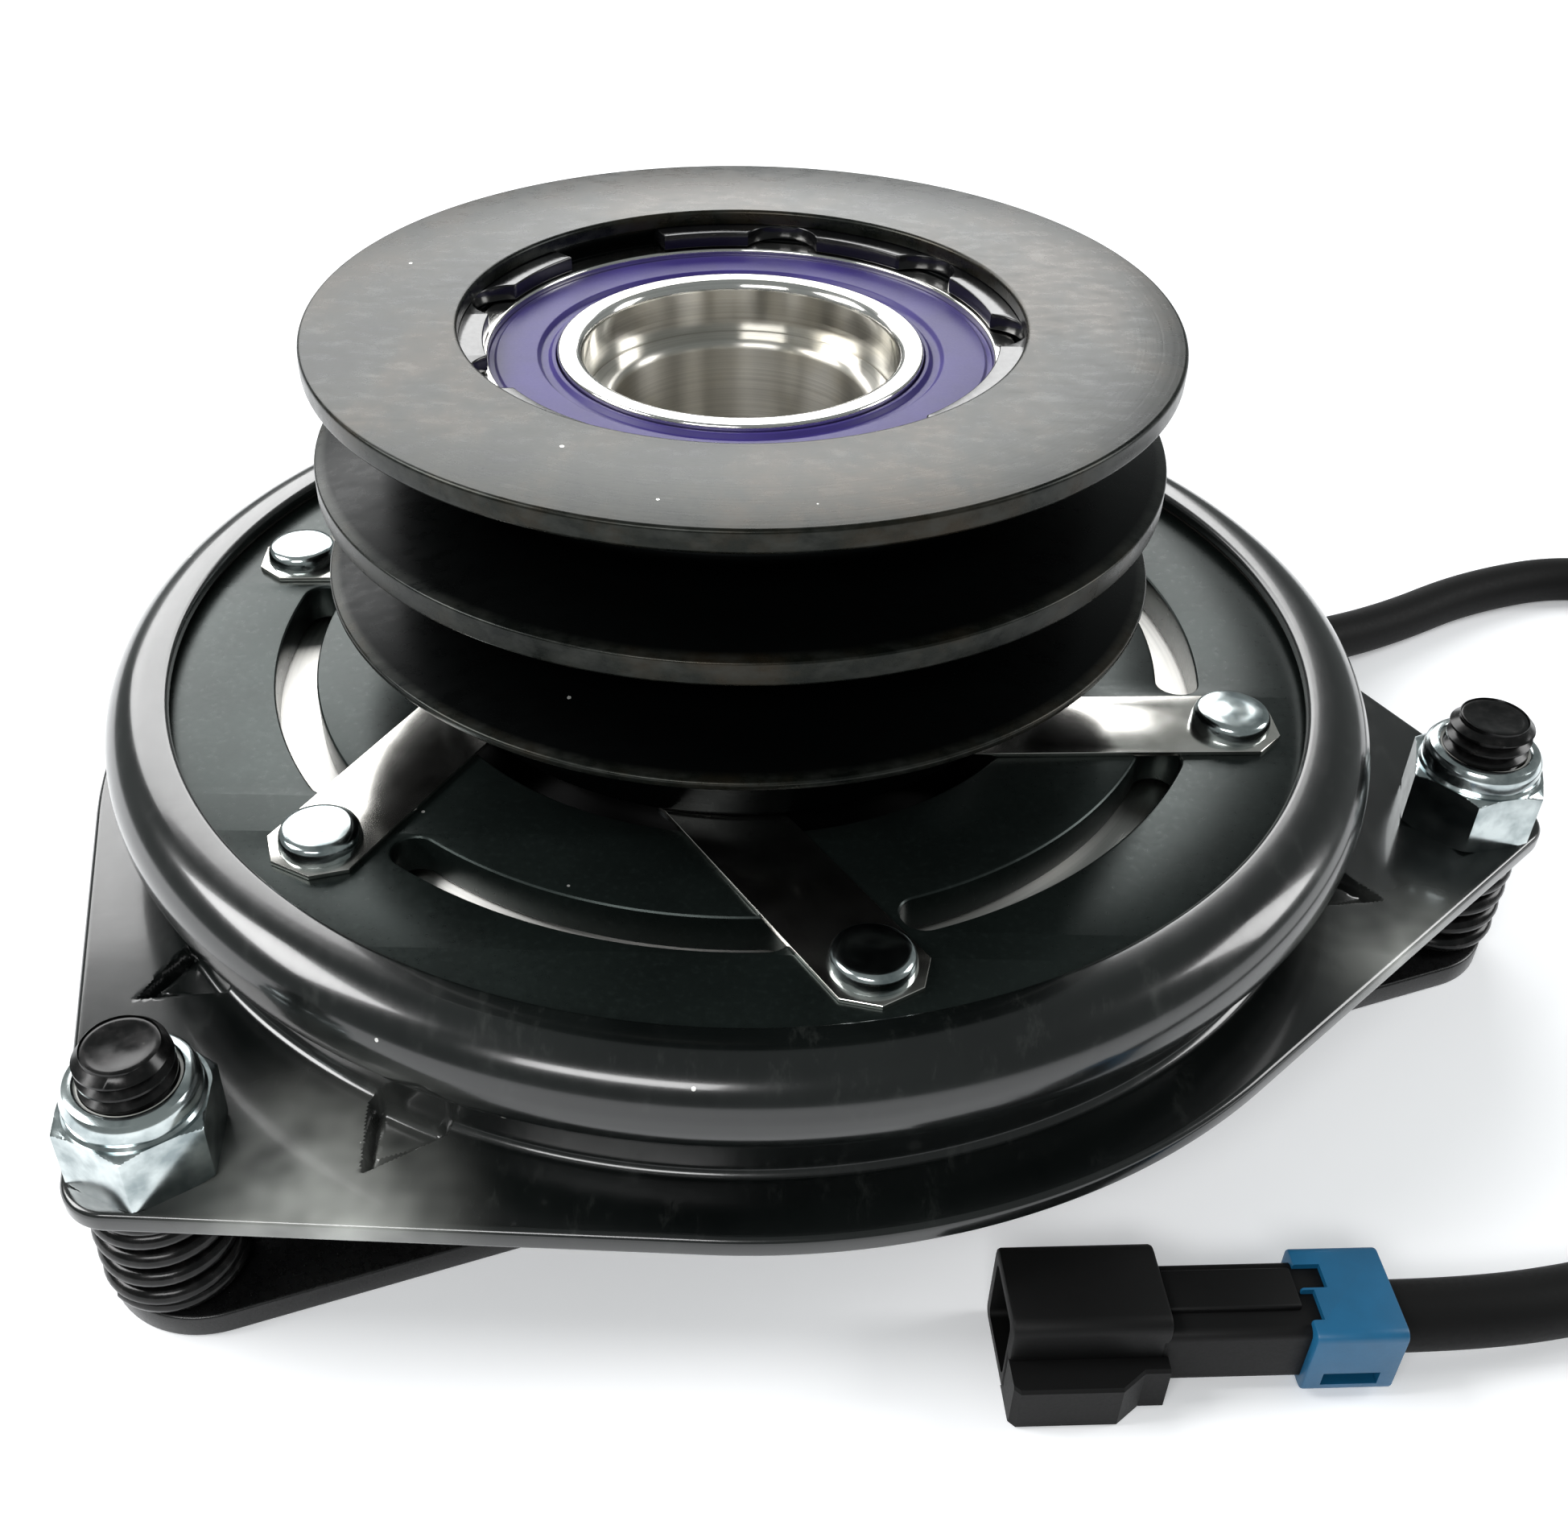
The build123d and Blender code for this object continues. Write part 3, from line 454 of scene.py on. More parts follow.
def bright_steel(name, tone, low, high, ring_size, tint, shade_within=0.0):
    """Machined steel with rings from the lathe, and painted dark, as shade, within a radius in millimetres."""
    look = Look(name, 1.0, 0.25, Anisotropic=0.9, Anisotropic_Rotation=0.25)
    tangent = look.node("ShaderNodeTangent", direction_type="RADIAL", axis="Z")
    look.link(tangent.outputs[0], look.shader.inputs["Tangent"])
    ring = look.noise(ring_size, 3, look.rings())
    cloud = look.noise(9, 4)
    base = look.mix(look.ramp(ring, (0.3, 0.0), (0.7, 1.0)), tuple(0.78 * part for part in tone), tone)
    base = look.mix(look.ramp(cloud, (0.5, 0.0), (0.72, 0.5)), base, tint)
    if shade_within:
        # Painted shade: the steel is painted dark within the given radius, where it lies under the pulley.
        painted_shade = look.fade(look.radius(), (shade_within - 2) * MM, shade_within * MM)
        base = look.mix(painted_shade, base, (0.02, 0.02, 0.02))
    look.colour(base)
    look.roughness(ring, low, high)
    look.bump(ring, 0.003, 0.3)
    return look.material


def zinc_plate():
    """Bright zinc plate: bluish white, a little patchy, dulled by handling."""
    look = Look("zinc_plate", 1.0, 0.25)
    cloud = look.noise(3.5, 4, rough=0.5)
    fine = look.noise(0.35, 4)
    base = look.ramp(cloud, (0.35, (0.28, 0.33, 0.34)), (0.62, (0.62, 0.68, 0.68)))
    look.colour(look.mix(look.ramp(fine, (0.66, 0.0), (0.8, 0.3)), base, (0.2, 0.22, 0.23)))
    look.roughness(cloud, 0.1, 0.22)
    look.bump(cloud, 0.03, 0.25)
    look.bump(fine, 0.004, 0.3)
    return look.material


def spring_steel():
    """Bare rolled strip, bright, with faint stains."""
    look = Look("spring_steel", 1.0, 0.3)
    cloud = look.noise(6, 4, rough=0.5)
    fine = look.noise(0.3, 3)
    base = look.ramp(cloud, (0.35, (0.62, 0.60, 0.56)), (0.6, (0.86, 0.84, 0.80)))
    look.colour(look.mix(look.ramp(fine, (0.68, 0.0), (0.85, 0.15)), base, (0.4, 0.36, 0.3)))
    look.roughness(cloud, 0.14, 0.22)
    look.bump(fine, 0.001, 0.3)
    return look.material


def moulded(name, tone, low, high, grain_size, depth, **shader):
    """Moulded plastic or rubber with a fine grain and faint uneven tone."""
    look = Look(name, 0.0, low, **shader)
    cloud = look.noise(6, 4)
    grain = look.noise(grain_size, 3)
    base = look.mix(look.ramp(cloud, (0.35, 0.0), (0.7, 1.0)), tuple(0.8 * part for part in tone), tone)
    look.colour(look.mix(look.specks(2.6, 0.015), base, tuple(0.4 + 0.6 * part for part in tone)))
    look.roughness(grain, low, high)
    look.bump(grain, depth, 0.4)
    return look.material


def black_oxide():
    """Oiled black oxide, as on a stud's thread and the coil springs, worn grey in spots."""
    look = Look("black_oxide", 0.5, 0.25)
    wear = look.noise(1.2, 4, rough=0.55)
    base = look.ramp(
        wear,
        (0.45, (0.006, 0.006, 0.006)),
        (0.68, (0.016, 0.015, 0.015)),
        (0.85, (0.09, 0.085, 0.08)),
    )
    look.colour(base)
    look.roughness(wear, 0.1, 0.32)
    look.bump(wear, 0.02, 0.25)
    return look.material


def copper():
    """Turns of enamelled wire, drawn as fine rings."""
    look = Look("enamelled_copper", 1.0, 0.3)
    wires = look.noise(0.5, 2, look.rings())
    look.colour(look.ramp(wires, (0.35, (0.3, 0.11, 0.05)), (0.65, (0.75, 0.36, 0.2))))
    look.bump(wires, 0.1, 0.6)
    return look.material


BLACKENED = blackened_steel()
GLOSS_BLACK = gloss_black()
ARMATURE_STEEL = satin_black("armature_steel", (0.017, 0.024, 0.022), 0.22, 0.38, 0.7)
PLATE_PAINT = satin_black("plate_paint", (0.003, 0.003, 0.0032), 0.2, 0.36, 0.0)
RING_STEEL = satin_black("ring_steel", (0.004, 0.004, 0.0045), 0.12, 0.25, 0.0)
# The rotor's face is painted dark as shade within 48 mm, under the pulley.
ROTOR_STEEL = bright_steel("rotor_steel", (0.82, 0.81, 0.78), 0.35, 0.6, 0.5, (0.7, 0.68, 0.62), 48.0)
BEARING_STEEL = bright_steel("bearing_steel", (0.86, 0.85, 0.82), 0.08, 0.2, 0.3, (0.8, 0.77, 0.7))
BORE_STEEL = bright_steel("bore_steel", (0.62, 0.6, 0.55), 0.28, 0.36, 0.2, (0.5, 0.45, 0.34))
ZINC = zinc_plate()
STRIP_STEEL = spring_steel()
BLACK_OXIDE = black_oxide()
SEAL_RUBBER = moulded("seal_rubber", (0.038, 0.025, 0.165), 0.36, 0.5, 0.3, 0.008, IOR=1.35)
SLEEVE = moulded("sleeve_black", (0.003, 0.003, 0.003), 0.5, 0.7, 0.5, 0.03, IOR=1.25)
CONNECTOR_PLASTIC = moulded("connector_black", (0.003, 0.003, 0.0031), 0.45, 0.62, 0.3, 0.02, IOR=1.28)
LOCK_PLASTIC = moulded("lock_blue", (0.006, 0.105, 0.225), 0.34, 0.5, 0.3, 0.015)
NYLON = moulded("nylon", (0.5, 0.5, 0.47), 0.4, 0.55, 0.3, 0.01)
RESIN = moulded("resin", (0.02, 0.02, 0.022), 0.2, 0.35, 1.5, 0.03)
FRICTION = moulded("friction_fibre", (0.06, 0.052, 0.045), 0.75, 0.9, 0.6, 0.06)
COPPER = copper()

slot_looks = {
    "black_painted_steel": PLATE_PAINT,
    "black_e_coat": GLOSS_BLACK,
    "blackened_steel": BLACKENED,
    "armature_steel": ARMATURE_STEEL,
    "rotor_steel": ROTOR_STEEL,
    "spring_steel": STRIP_STEEL,
    "black_spring_wire": BLACK_OXIDE,
    "zinc_plate": ZINC,
    "bearing_steel": BEARING_STEEL,
    "cage_nylon": NYLON,
    "seal_rubber": SEAL_RUBBER,
    "friction_material": FRICTION,
    "copper_wire": COPPER,
    "bobbin_plastic": NYLON,
    "potting_resin": RESIN,
    "nut_nylon": NYLON,
    "black_rubber": SLEEVE,
    "black_sleeve": SLEEVE,
    "connector_black": CONNECTOR_PLASTIC,
    "lock_blue": LOCK_PLASTIC,
    "terminal_brass": BEARING_STEEL,
}
for row in frame["record"]["subparts"]:
    node = frame["nodes"][row["node"]]
    node.data.materials.clear()
    node.data.materials.append(slot_looks[row["material_slot"]])

# -------------------------------- camera
camera_data = bpy.data.cameras.new("camera")
camera_data.lens = 39.784
camera_data.sensor_width = 36.0
camera_data.shift_x = 0.0566
camera_data.shift_y = 0.0015
camera_data.clip_end = 20.0
camera = placed("camera", camera_data)
right = Vector((0.999598, 0.028320, 0.001544))
up = Vector((-0.018507, 0.610062, 0.792138))
back = Vector((0.021491, -0.791848, 0.610340))
camera_place = Vector((0, -181.137, 153.692)) * MM
camera_turn = Matrix((right, up, back)).transposed().to_4x4()
camera.matrix_world = Matrix.Translation(camera_place) @ camera_turn
bpy.context.scene.camera = camera

# -------------------------------- lead
LEAD_D = 7.0
# The lead's middle line: out of the shell, down to the floor, one open bend, and into the connector.
lead_route = [
    around(58.6, 27.2, 7.6),
    around(81.5, 27.2, 7.6),
    (88.0, 45.5, 5.4),
    (103.0, 54.2, 3.6),
    (119.5, 65.0, 3.5),
    (139.0, 71.3, 3.5),
    (156.5, 64.0, 3.5),
    (166.0, 47.0, 3.5),
    (168.0, 26.0, 3.5),
    (164.0, 4.0, 3.5),
    (155.0, -17.0, 3.5),
    (143.0, -35.0, 3.5),
    (128.0, -50.5, 3.5),
    (113.0, -61.2, 3.5),
    (100.0, -68.0, 3.7),
    (88.5, -72.3, 4.8),
    (75.5, -75.34, 5.5),
    (66.0, -75.9, 5.5),
]
lead_curve = bpy.data.curves.new("lead_sleeve_cord", "CURVE")
lead_curve.dimensions = "3D"
lead_spline = lead_curve.splines.new("NURBS")
lead_spline.points.add(len(lead_route) - 1)
for place, point in zip(lead_spline.points, lead_route):
    place.co = (*(Vector(point) * MM), 1)
lead_spline.order_u = 3
lead_spline.use_endpoint_u = True
lead_curve.resolution_u = 16
lead_curve.bevel_depth = LEAD_D / 2 * MM
lead_curve.bevel_resolution = 8
lead_curve.use_fill_caps = True
lead_curve.materials.append(SLEEVE)
lead = placed("lead_sleeve_cord", lead_curve)
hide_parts("lead_sleeve")
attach(lead, "field")

# -------------------------------- brake flange
EAR_NOSE_R, EAR_NOSE_CIRCLE_R, ROUND_R = 5.5, 94.1, 80.0
WALL_OUT_R, WALL_IN_R, SHEET_T = 72.0, 70.3, 1.7
ROLL_CENTRE_R, ROLL_LOW, ROLL_HIGH, ROLL_R = 71.1, 30.9, 31.8, 5.2
RIM_TOP, LIP_R, ROOT_R = 37.0, 68.4, 1.2
STUD_HOLE_R = 5.3
WINDOW_TURN, WINDOW_HALF, WINDOW_W, WINDOW_LOW, WINDOW_HIGH = 90.8, 11, 5.0, 22.2, 25.2
side_turn = degrees(acos((ROUND_R - EAR_NOSE_R) / EAR_NOSE_CIRCLE_R))
nose_turn = degrees(
    atan2(
        EAR_NOSE_R * sin(radians(side_turn)),
        EAR_NOSE_CIRCLE_R + EAR_NOSE_R * cos(radians(side_turn)),
    )
)
# A dart is a triangle pressed beside an ear: degrees from the ear, two radii, and half its root in degrees.
DART_TURN, DART_TIP_R, DART_ROOT_R, DART_HALF = 13.0, 81.2, 73.2, 3.7
DART_GROOVE_DEPTH, DART_GROOVE_W = 2.2, 0.75
TONGUE_INSET, TONGUE_RISE_W, TONGUE_DEPTH, TONGUE_SLOPE = 0.9, 0.6, 0.2, 0.2
NOSE_STEP, DART_STEP, ROUND_STEP = 0.12, 0.2, 0.6  # degrees between the mesh's columns
PLATE_ROWS = 38


def from_ear(angle):
    """Degrees from the nearest ear, signed."""
    return min(((angle - ear + 180) % 360 - 180 for ear in EAR_ANGLES), key=abs)


def flange_edge(angle):
    """Radius of the flange's edge at an angle: round, but drawn out to a nose at each ear."""
    turn = abs(from_ear(angle))
    if turn < nose_turn:
        across = EAR_NOSE_CIRCLE_R * sin(radians(turn))
        return EAR_NOSE_CIRCLE_R * cos(radians(turn)) + sqrt(EAR_NOSE_R**2 - across**2)
    if turn < side_turn:
        return ROUND_R / cos(radians(turn - side_turn))
    return ROUND_R


def soft_step(value):
    """0 below 0, 1 above 1, and smooth between."""
    value = max(0.0, min(1.0, value))
    return value * value * (3 - 2 * value)


def dart_depth(radius, angle):
    """How far the pressed dart beside an ear lies below the flange: a V groove round a raised tongue."""
    turn = from_ear(angle)
    off_axis = abs(abs(turn) - DART_TURN) * radians(1) * radius
    half_width = DART_HALF * radians(1) * DART_ROOT_R * (DART_TIP_R - radius) / (DART_TIP_R - DART_ROOT_R)
    inside = half_width - off_axis
    groove = DART_GROOVE_DEPTH * soft_step(inside / DART_GROOVE_W)
    tongue = soft_step((inside - TONGUE_INSET) / TONGUE_RISE_W)
    tongue_depth = TONGUE_DEPTH + TONGUE_SLOPE * (DART_TIP_R - radius)
    return groove + (tongue_depth - groove) * tongue if inside > 0 else 0.0


def fine_angles():
    """Angles round the flange, closer together at the ears' noses and at the darts."""
    angles = set()
    angle = 0.0
    while angle < 360:
        angles.add(round(angle, 3))
        turn = abs(from_ear(angle))
        if turn < 3:
            angle += NOSE_STEP
        elif abs(turn - DART_TURN) < 4.5:
            angle += DART_STEP
        else:
            angle += ROUND_STEP
    return sorted(angles)


flange_points = []
flange_angles = fine_angles()
roll_start = degrees(asin((WALL_OUT_R - ROLL_CENTRE_R) / ROLL_R)) - 90
inner_roll_r = ROLL_R - SHEET_T
inner_start = degrees(asin((WALL_IN_R - ROLL_CENTRE_R) / inner_roll_r)) - 90
for angle in flange_angles:
    edge = flange_edge(angle)
    loop = arc((edge - 0.5, FLANGE_LOW + 0.5), 0.5, -90, 0, 30)
    loop += arc((edge - 0.7, FLANGE_TOP - 0.7), 0.7, 0, 90, 22)
    for row in range(1, PLATE_ROWS):
        radius = edge - 0.7 + (WALL_OUT_R + ROOT_R - edge + 0.7) * row / PLATE_ROWS
        loop.append((radius, FLANGE_TOP - dart_depth(radius, angle)))
    sunk = dart_depth(WALL_OUT_R + ROOT_R, angle)
    for radius, height in arc((WALL_OUT_R + ROOT_R, FLANGE_TOP + ROOT_R), ROOT_R, 270, 180, 15):
        fade = (FLANGE_TOP + ROOT_R - height) / ROOT_R
        loop.append((radius, height - sunk * max(0.0, fade)))
    loop += [(WALL_OUT_R, 24.4)]
    loop += arc((ROLL_CENTRE_R, ROLL_LOW), ROLL_R, roll_start, 0, 6)
    loop += arc((ROLL_CENTRE_R, ROLL_HIGH), ROLL_R, 0, 90, 5)
    loop += arc((LIP_R + 0.7, RIM_TOP - 0.7), 0.7, 90, 180, 22)
    loop += arc((LIP_R + 0.4, RIM_TOP - SHEET_T + 0.4), 0.4, 180, 270, 30)
    loop += arc((ROLL_CENTRE_R, ROLL_HIGH), inner_roll_r, 90, 0, 10)
    loop += arc((ROLL_CENTRE_R, ROLL_LOW), inner_roll_r, 0, inner_start, 10)
    loop += [(WALL_IN_R, 26.0), (WALL_IN_R, 21.5)]
    loop += arc((WALL_IN_R + 2.4, FLANGE_LOW + 2.4), 2.4, 180, 270, 15)
    flange_points += [around(radius, angle, height) for radius, height in loop]
flange_mesh = new_mesh(
    "brake_flange", flange_points, grid_faces(len(flange_angles), len(loop), True, True), 40
)


def upright(name, outline, low, high):
    """A plain prism, for cutting with."""
    count = len(outline)
    points = [(x, y, low) for x, y in outline] + [(x, y, high) for x, y in outline]
    faces = [tuple(range(count))[::-1], tuple(range(count, 2 * count))]
    faces += [(i, (i + 1) % count, (i + 1) % count + count, i + count) for i in range(count)]
    return new_mesh(name, points, faces)


def circle(centre, radius, count=48):
    """Points round a circle."""
    return [beside(centre, radius, 2 * pi * i / count, 0)[:2] for i in range(count)]


def slot_outline(radius, width, start, end):
    """A slot that follows an arc about the spin axis, with round ends at its two angles."""
    cap = degrees(width / 2 / radius)
    inner = arc((0, 0), radius - width / 2, start + cap, end - cap, 1)
    outer = arc((0, 0), radius + width / 2, end - cap, start + cap, 1)
    far = around(radius, end - cap)
    near = around(radius, start + cap)
    far_cap = arc((far.x, far.y), width / 2, end - cap + 180, end - cap, 12)
    near_cap = arc((near.x, near.y), width / 2, start + cap, start + cap - 180, 12)
    return inner[:-1] + far_cap[:-1] + outer[:-1] + near_cap[:-1]


flange_cutters = []
for ear in EAR_ANGLES:
    stud = around(STUD_CIRCLE_R, ear)
    flange_cutters.append(upright("stud_hole", circle(stud, STUD_HOLE_R), FLANGE_LOW - 1, FLANGE_TOP + 1))
    middle = ear + WINDOW_TURN
    window = slot_outline(WALL_OUT_R - 0.9, WINDOW_W, middle - WINDOW_HALF, middle + WINDOW_HALF)
    flange_cutters.append(upright("window", window, WINDOW_LOW, WINDOW_HIGH))
flange_mesh = cut(flange_mesh, flange_cutters, 40)
piece("brake_flange_pressing", flange_mesh, "brake_flange", "black_e_coat", "brake_flange")

# -------------------------------- pulley
PULLEY_R, PULLEY_TOP, GROOVE_R = 48.0, 77.5, 36.0
wall_rise = (PULLEY_R - GROOVE_R) * tan(radians(18))
pulley_outline = [
    (24.0, 35.4, 0.3),
    (GROOVE_R, 35.4, 0.6),
    (GROOVE_R, 44.0, 3.0),
    (PULLEY_R, 48.4, 0.5),
    (PULLEY_R, 49.25, 0.35),
    (GROOVE_R, 49.2 + wall_rise, 1.2),
    (GROOVE_R, 60.9 - wall_rise, 1.2),
    (PULLEY_R, 60.9, 0.3),
    (PULLEY_R, 63.4, 0.3),
    (GROOVE_R, 63.4 + wall_rise, 1.2),
    (GROOVE_R, 74.9 - wall_rise, 1.2),
    (PULLEY_R, 75.1, 0.45),
    (PULLEY_R, PULLEY_TOP, 0.45),
    (31.0, PULLEY_TOP, 0.5),
    (31.0, 75.8, 0.1),
    (32.6, 75.8, 0),
    (32.6, 73.9, 0),
    (31.0, 73.9, 0.1),
    (31.0, 59.8, 0),
    (28.4, 59.8, 0.3),
    (28.4, 57.8, 0.5),
    (24.0, 57.8, 0.4),
]
pulley_mesh = turned("pulley", rounded(pulley_outline), 300)
piece("grooved_pulley", pulley_mesh, "pulley", "blackened_steel", "pulley")


def open_ring(inner, outer, opening, half_opening, bites, bite_r, bite_at):
    """Outline of an open retaining ring with round bites out of its inner edge."""
    bites = sorted(bite % 360 for bite in bites)
    inner_edge = []
    angle = half_opening
    while angle <= 360 - half_opening:
        radius = inner
        for bite in bites:
            off = abs((angle - bite + 180) % 360 - 180)
            across = bite_at * sin(radians(off))
            if off < 30 and abs(across) < bite_r:
                radius = max(radius, bite_at * cos(radians(off)) + sqrt(bite_r**2 - across**2))
        inner_edge.append(around(radius, opening + angle)[:2])
        angle += 0.6
    outer_edge = []
    for i in range(241):
        turn = 360 - half_opening - (360 - 2 * half_opening) * i / 240
        outer_edge.append(around(outer, opening + turn)[:2])
    return [tuple(point) for point in inner_edge + outer_edge]


ring_outline = open_ring(28.3, 32.3, 123, 13, (43, 83, 123, 180, -43, -83, -123), 4.3, 27.0)
ring_mesh = plate("pulley_ring", [ring_outline], 73.95, 75.75, 0.18)
piece("pulley_snap_ring", ring_mesh, "pulley", "blackened_steel", "pulley_retaining_ring", look=RING_STEEL)

# -------------------------------- upper bearing and hub
inner_race_outline = rounded([(17.5, 59.8, 0.8), (20.3, 59.8, 0.3), (20.3, 73.8, 0.35), (17.5, 73.8, 1.1)])
inner_race = turned("inner_race", inner_race_outline)
piece("upper_inner_race", inner_race, "rotor", "bearing_steel", "pulley_bearing_inner_race")
outer_race_outline = rounded([(27.9, 59.8, 0.3), (31.0, 59.8, 0.8), (31.0, 73.8, 0.8), (27.9, 73.8, 0.3)])
outer_race = turned("outer_race", outer_race_outline)
piece("upper_outer_race", outer_race, "pulley", "bearing_steel", "pulley_bearing_outer_race")
seal_outline = [
    (20.45, 72.1, 0.1),
    (27.9, 72.1, 0),
    (27.9, 73.0, 0.25),
    (27.2, 73.0, 0.2),
    (27.0, 73.25, 0.2),
    (22.5, 73.25, 0.25),
    (22.1, 72.7, 0.3),
    (21.3, 72.7, 0.25),
    (20.9, 73.2, 0.2),
    (20.45, 73.2, 0.15),
]
piece("upper_seal", turned("seal", rounded(seal_outline)), "pulley", "seal_rubber", "pulley_bearing_upper_seal")
SHAFT_R = 14.2875
hub_outline = [
    (SHAFT_R, 0.0, 0.5),
    (20.0, 0.0, 0.5),
    (20.0, 2.25, 0),
    (18.8, 2.25, 0),
    (18.8, 4.0, 0),
    (20.0, 4.0, 0),
    (20.0, 19.0, 0),
    (22.0, 19.0, 0.2),
    (22.0, 29.6, 0.2),
    (20.4, 29.6, 0.2),
    (20.4, 59.8, 0.2),
    (17.5, 59.8, 0),
    (17.5, 67.7, 0.4),
    (SHAFT_R, 67.7, 1.0),
]
keyway = upright("keyway", [(-3.175, -17.46), (3.175, -17.46), (3.175, 0), (-3.175, 0)], -1, 56)
hub_mesh = cut(turned("hub", rounded(hub_outline)), [keyway])
piece("hub_sleeve", hub_mesh, "rotor", "rotor_steel", "rotor_hub", look=BORE_STEEL)

# -------------------------------- armature, rivets and leaf springs
armature_holes = [circle((0, 0), 38.0, 180)]
for number in range(STRIP_COUNT):
    start = RIVET_START + 60 * number
    armature_holes.append(slot_outline(53.8, 4.8, start + 5.4, start + 53.0))
armature_mesh = plate(
    "armature", [circle((0, 0), 70.6, 360)] + armature_holes, ARMATURE_LOW, ARMATURE_TOP, 0.45, 28
)
piece("armature_disc", armature_mesh, "armature", "armature_steel", "armature")

RIVET_OUTLINE = [
    (0.0, 35.42),
    (4.5, 35.42),
    (4.5, 35.6),
    (4.42, 36.2),
    (4.3, 36.75),
    (4.12, 37.1),
    (3.8, 37.32),
    (3.3, 37.38),
    (2.2, 37.33),
    (1.0, 37.36),
    (0.0, 37.4),
]
RIVET_SHANK_R = 2.55
rivet_heads = []
segments = 64
for number in range(STRIP_COUNT):
    centre = around(RIVET_CIRCLE_R, RIVET_START + 60 * number)
    points = []
    for i in range(segments):
        angle = 2 * pi * i / segments
        for radius, height in RIVET_OUTLINE:
            knock = 0.06 * sin(3 * angle + number) * (radius / 4.5) ** 2 if height > 37 else 0
            points.append(beside(centre, radius, angle, height + knock))
    rivet_heads.append(new_mesh("rivet", points, grid_faces(segments, len(RIVET_OUTLINE), True), 50))
    rivet_heads.append(upright("shank", circle(centre, RIVET_SHANK_R), ARMATURE_LOW, 35.4))
rivets_mesh = joined("rivets", rivet_heads)
piece("armature_rivet_heads", rivets_mesh, "armature", "zinc_plate", "armature_rivets")

STRIP_HALF_W, STRIP_TIP, STRIP_CORNER = 5.5, 5.2, 3.0
for number in range(STRIP_COUNT):
    rivet_angle = RIVET_START + 60 * number
    rivet = around(RIVET_CIRCLE_R, rivet_angle)
    outward = around(1, rivet_angle + STRIP_SKEW)
    sideways = Vector((-outward.y, outward.x, 0))
    near, far = -STRIP_REACH - STRIP_TIP, STRIP_TIP
    corners = [
        (near + STRIP_CORNER, -STRIP_HALF_W),
        (far - STRIP_CORNER, -STRIP_HALF_W),
        (far, -STRIP_HALF_W + STRIP_CORNER),
        (far, STRIP_HALF_W - STRIP_CORNER),
        (far - STRIP_CORNER, STRIP_HALF_W),
        (near + STRIP_CORNER, STRIP_HALF_W),
        (near, STRIP_HALF_W - STRIP_CORNER),
        (near, -STRIP_HALF_W + STRIP_CORNER),
    ]
    outline = []
    for i, (along, across) in enumerate(corners):
        next_along, next_across = corners[(i + 1) % len(corners)]
        pieces_of_edge = 12 if abs(next_along - along) > 10 else 1
        for k in range(pieces_of_edge):
            here_along = along + (next_along - along) * k / pieces_of_edge
            here_across = across + (next_across - across) * k / pieces_of_edge
            spot = rivet + outward * here_along + sideways * here_across
            outline.append((spot.x, spot.y))
    strip_mesh = plate(f"strip_{number + 1}", [outline], ARMATURE_TOP, ARMATURE_TOP + STRIP_T, 0.1, 25)
    name = f"leaf_spring_strip_{number + 1}"
    strip = piece(name, strip_mesh, None, "spring_steel", f"leaf_spring_{number + 1}")
    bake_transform(strip)

# -------------------------------- studs, nuts and coil springs
PITCH, THREAD_R, THREAD_ROOT_R = 1.5875, 4.72, 3.85
THREAD_FORM = [(0.0, 0.0), (0.38, 1.0), (0.55, 1.0), (0.93, 0.0)]  # share of the pitch, share of the depth
stud_meshes = []
STUD_END_RINGS = [(0.0, -0.28), (0.9, -0.25), (1.8, -0.18), (2.6, -0.1)]
STUD_END_RINGS += [(3.2, -0.02), (3.6, 0.0), (3.86, -0.12)]  # radius, height above the end's rim
DENT_R = 3.5
turns = int(STUD_TOP / PITCH) + 2
for number, ear in enumerate(EAR_ANGLES):
    stud = around(STUD_CIRCLE_R, ear)
    points = []
    for step in range(turns * segments + 1):
        angle = 2 * pi * step / segments
        for share, depth in THREAD_FORM:
            height = (step / segments - 1 + share) * PITCH
            radius = THREAD_ROOT_R + (THREAD_R - THREAD_ROOT_R) * depth
            height = min(max(height, 0.0), STUD_TOP)
            radius = min(radius, THREAD_R - 0.9 + (STUD_TOP - height))
            points.append(beside(stud, radius, angle, height))
    columns = len(THREAD_FORM)
    faces = grid_faces(turns * segments + 1, columns)
    last = columns - 1
    for step in range((turns - 1) * segments):
        a, b = step * columns + last, (step + 1) * columns + last
        c, d = (step + 1 + segments) * columns, (step + segments) * columns
        faces.append((a, b, c, d))
    stud_meshes.append(new_mesh("thread", points, faces, 50))
    cap = []
    for radius, lift in STUD_END_RINGS:
        for i in range(segments):
            angle = 2 * pi * i / segments
            dent = 0.08 * sin(2 * angle + 2.1 * number) * sin(1.3 * radius) * radius / DENT_R
            height = STUD_TOP - 0.12 + lift + (dent if radius < DENT_R else 0)
            cap.append(beside(stud, radius, angle, height))
    stud_meshes.append(new_mesh("stud_end", cap, grid_faces(len(STUD_END_RINGS), segments, False, True), 60))
    stud_meshes.append(upright("stud_foot", circle(stud, 4.7), 0.0, 2.95))
studs_mesh = joined("studs", stud_meshes)
piece("adjusting_stud_threads", studs_mesh, "field", "blackened_steel", "adjusting_studs", look=BLACK_OXIDE)

HALF_FLATS, HEX_H, COLLAR_R = 7.145, 7.6, 6.7
NUT_TURNS = [44.0, 22.0, 10.0]  # where each nut came to rest, degrees
NUT_SEGMENTS = 192
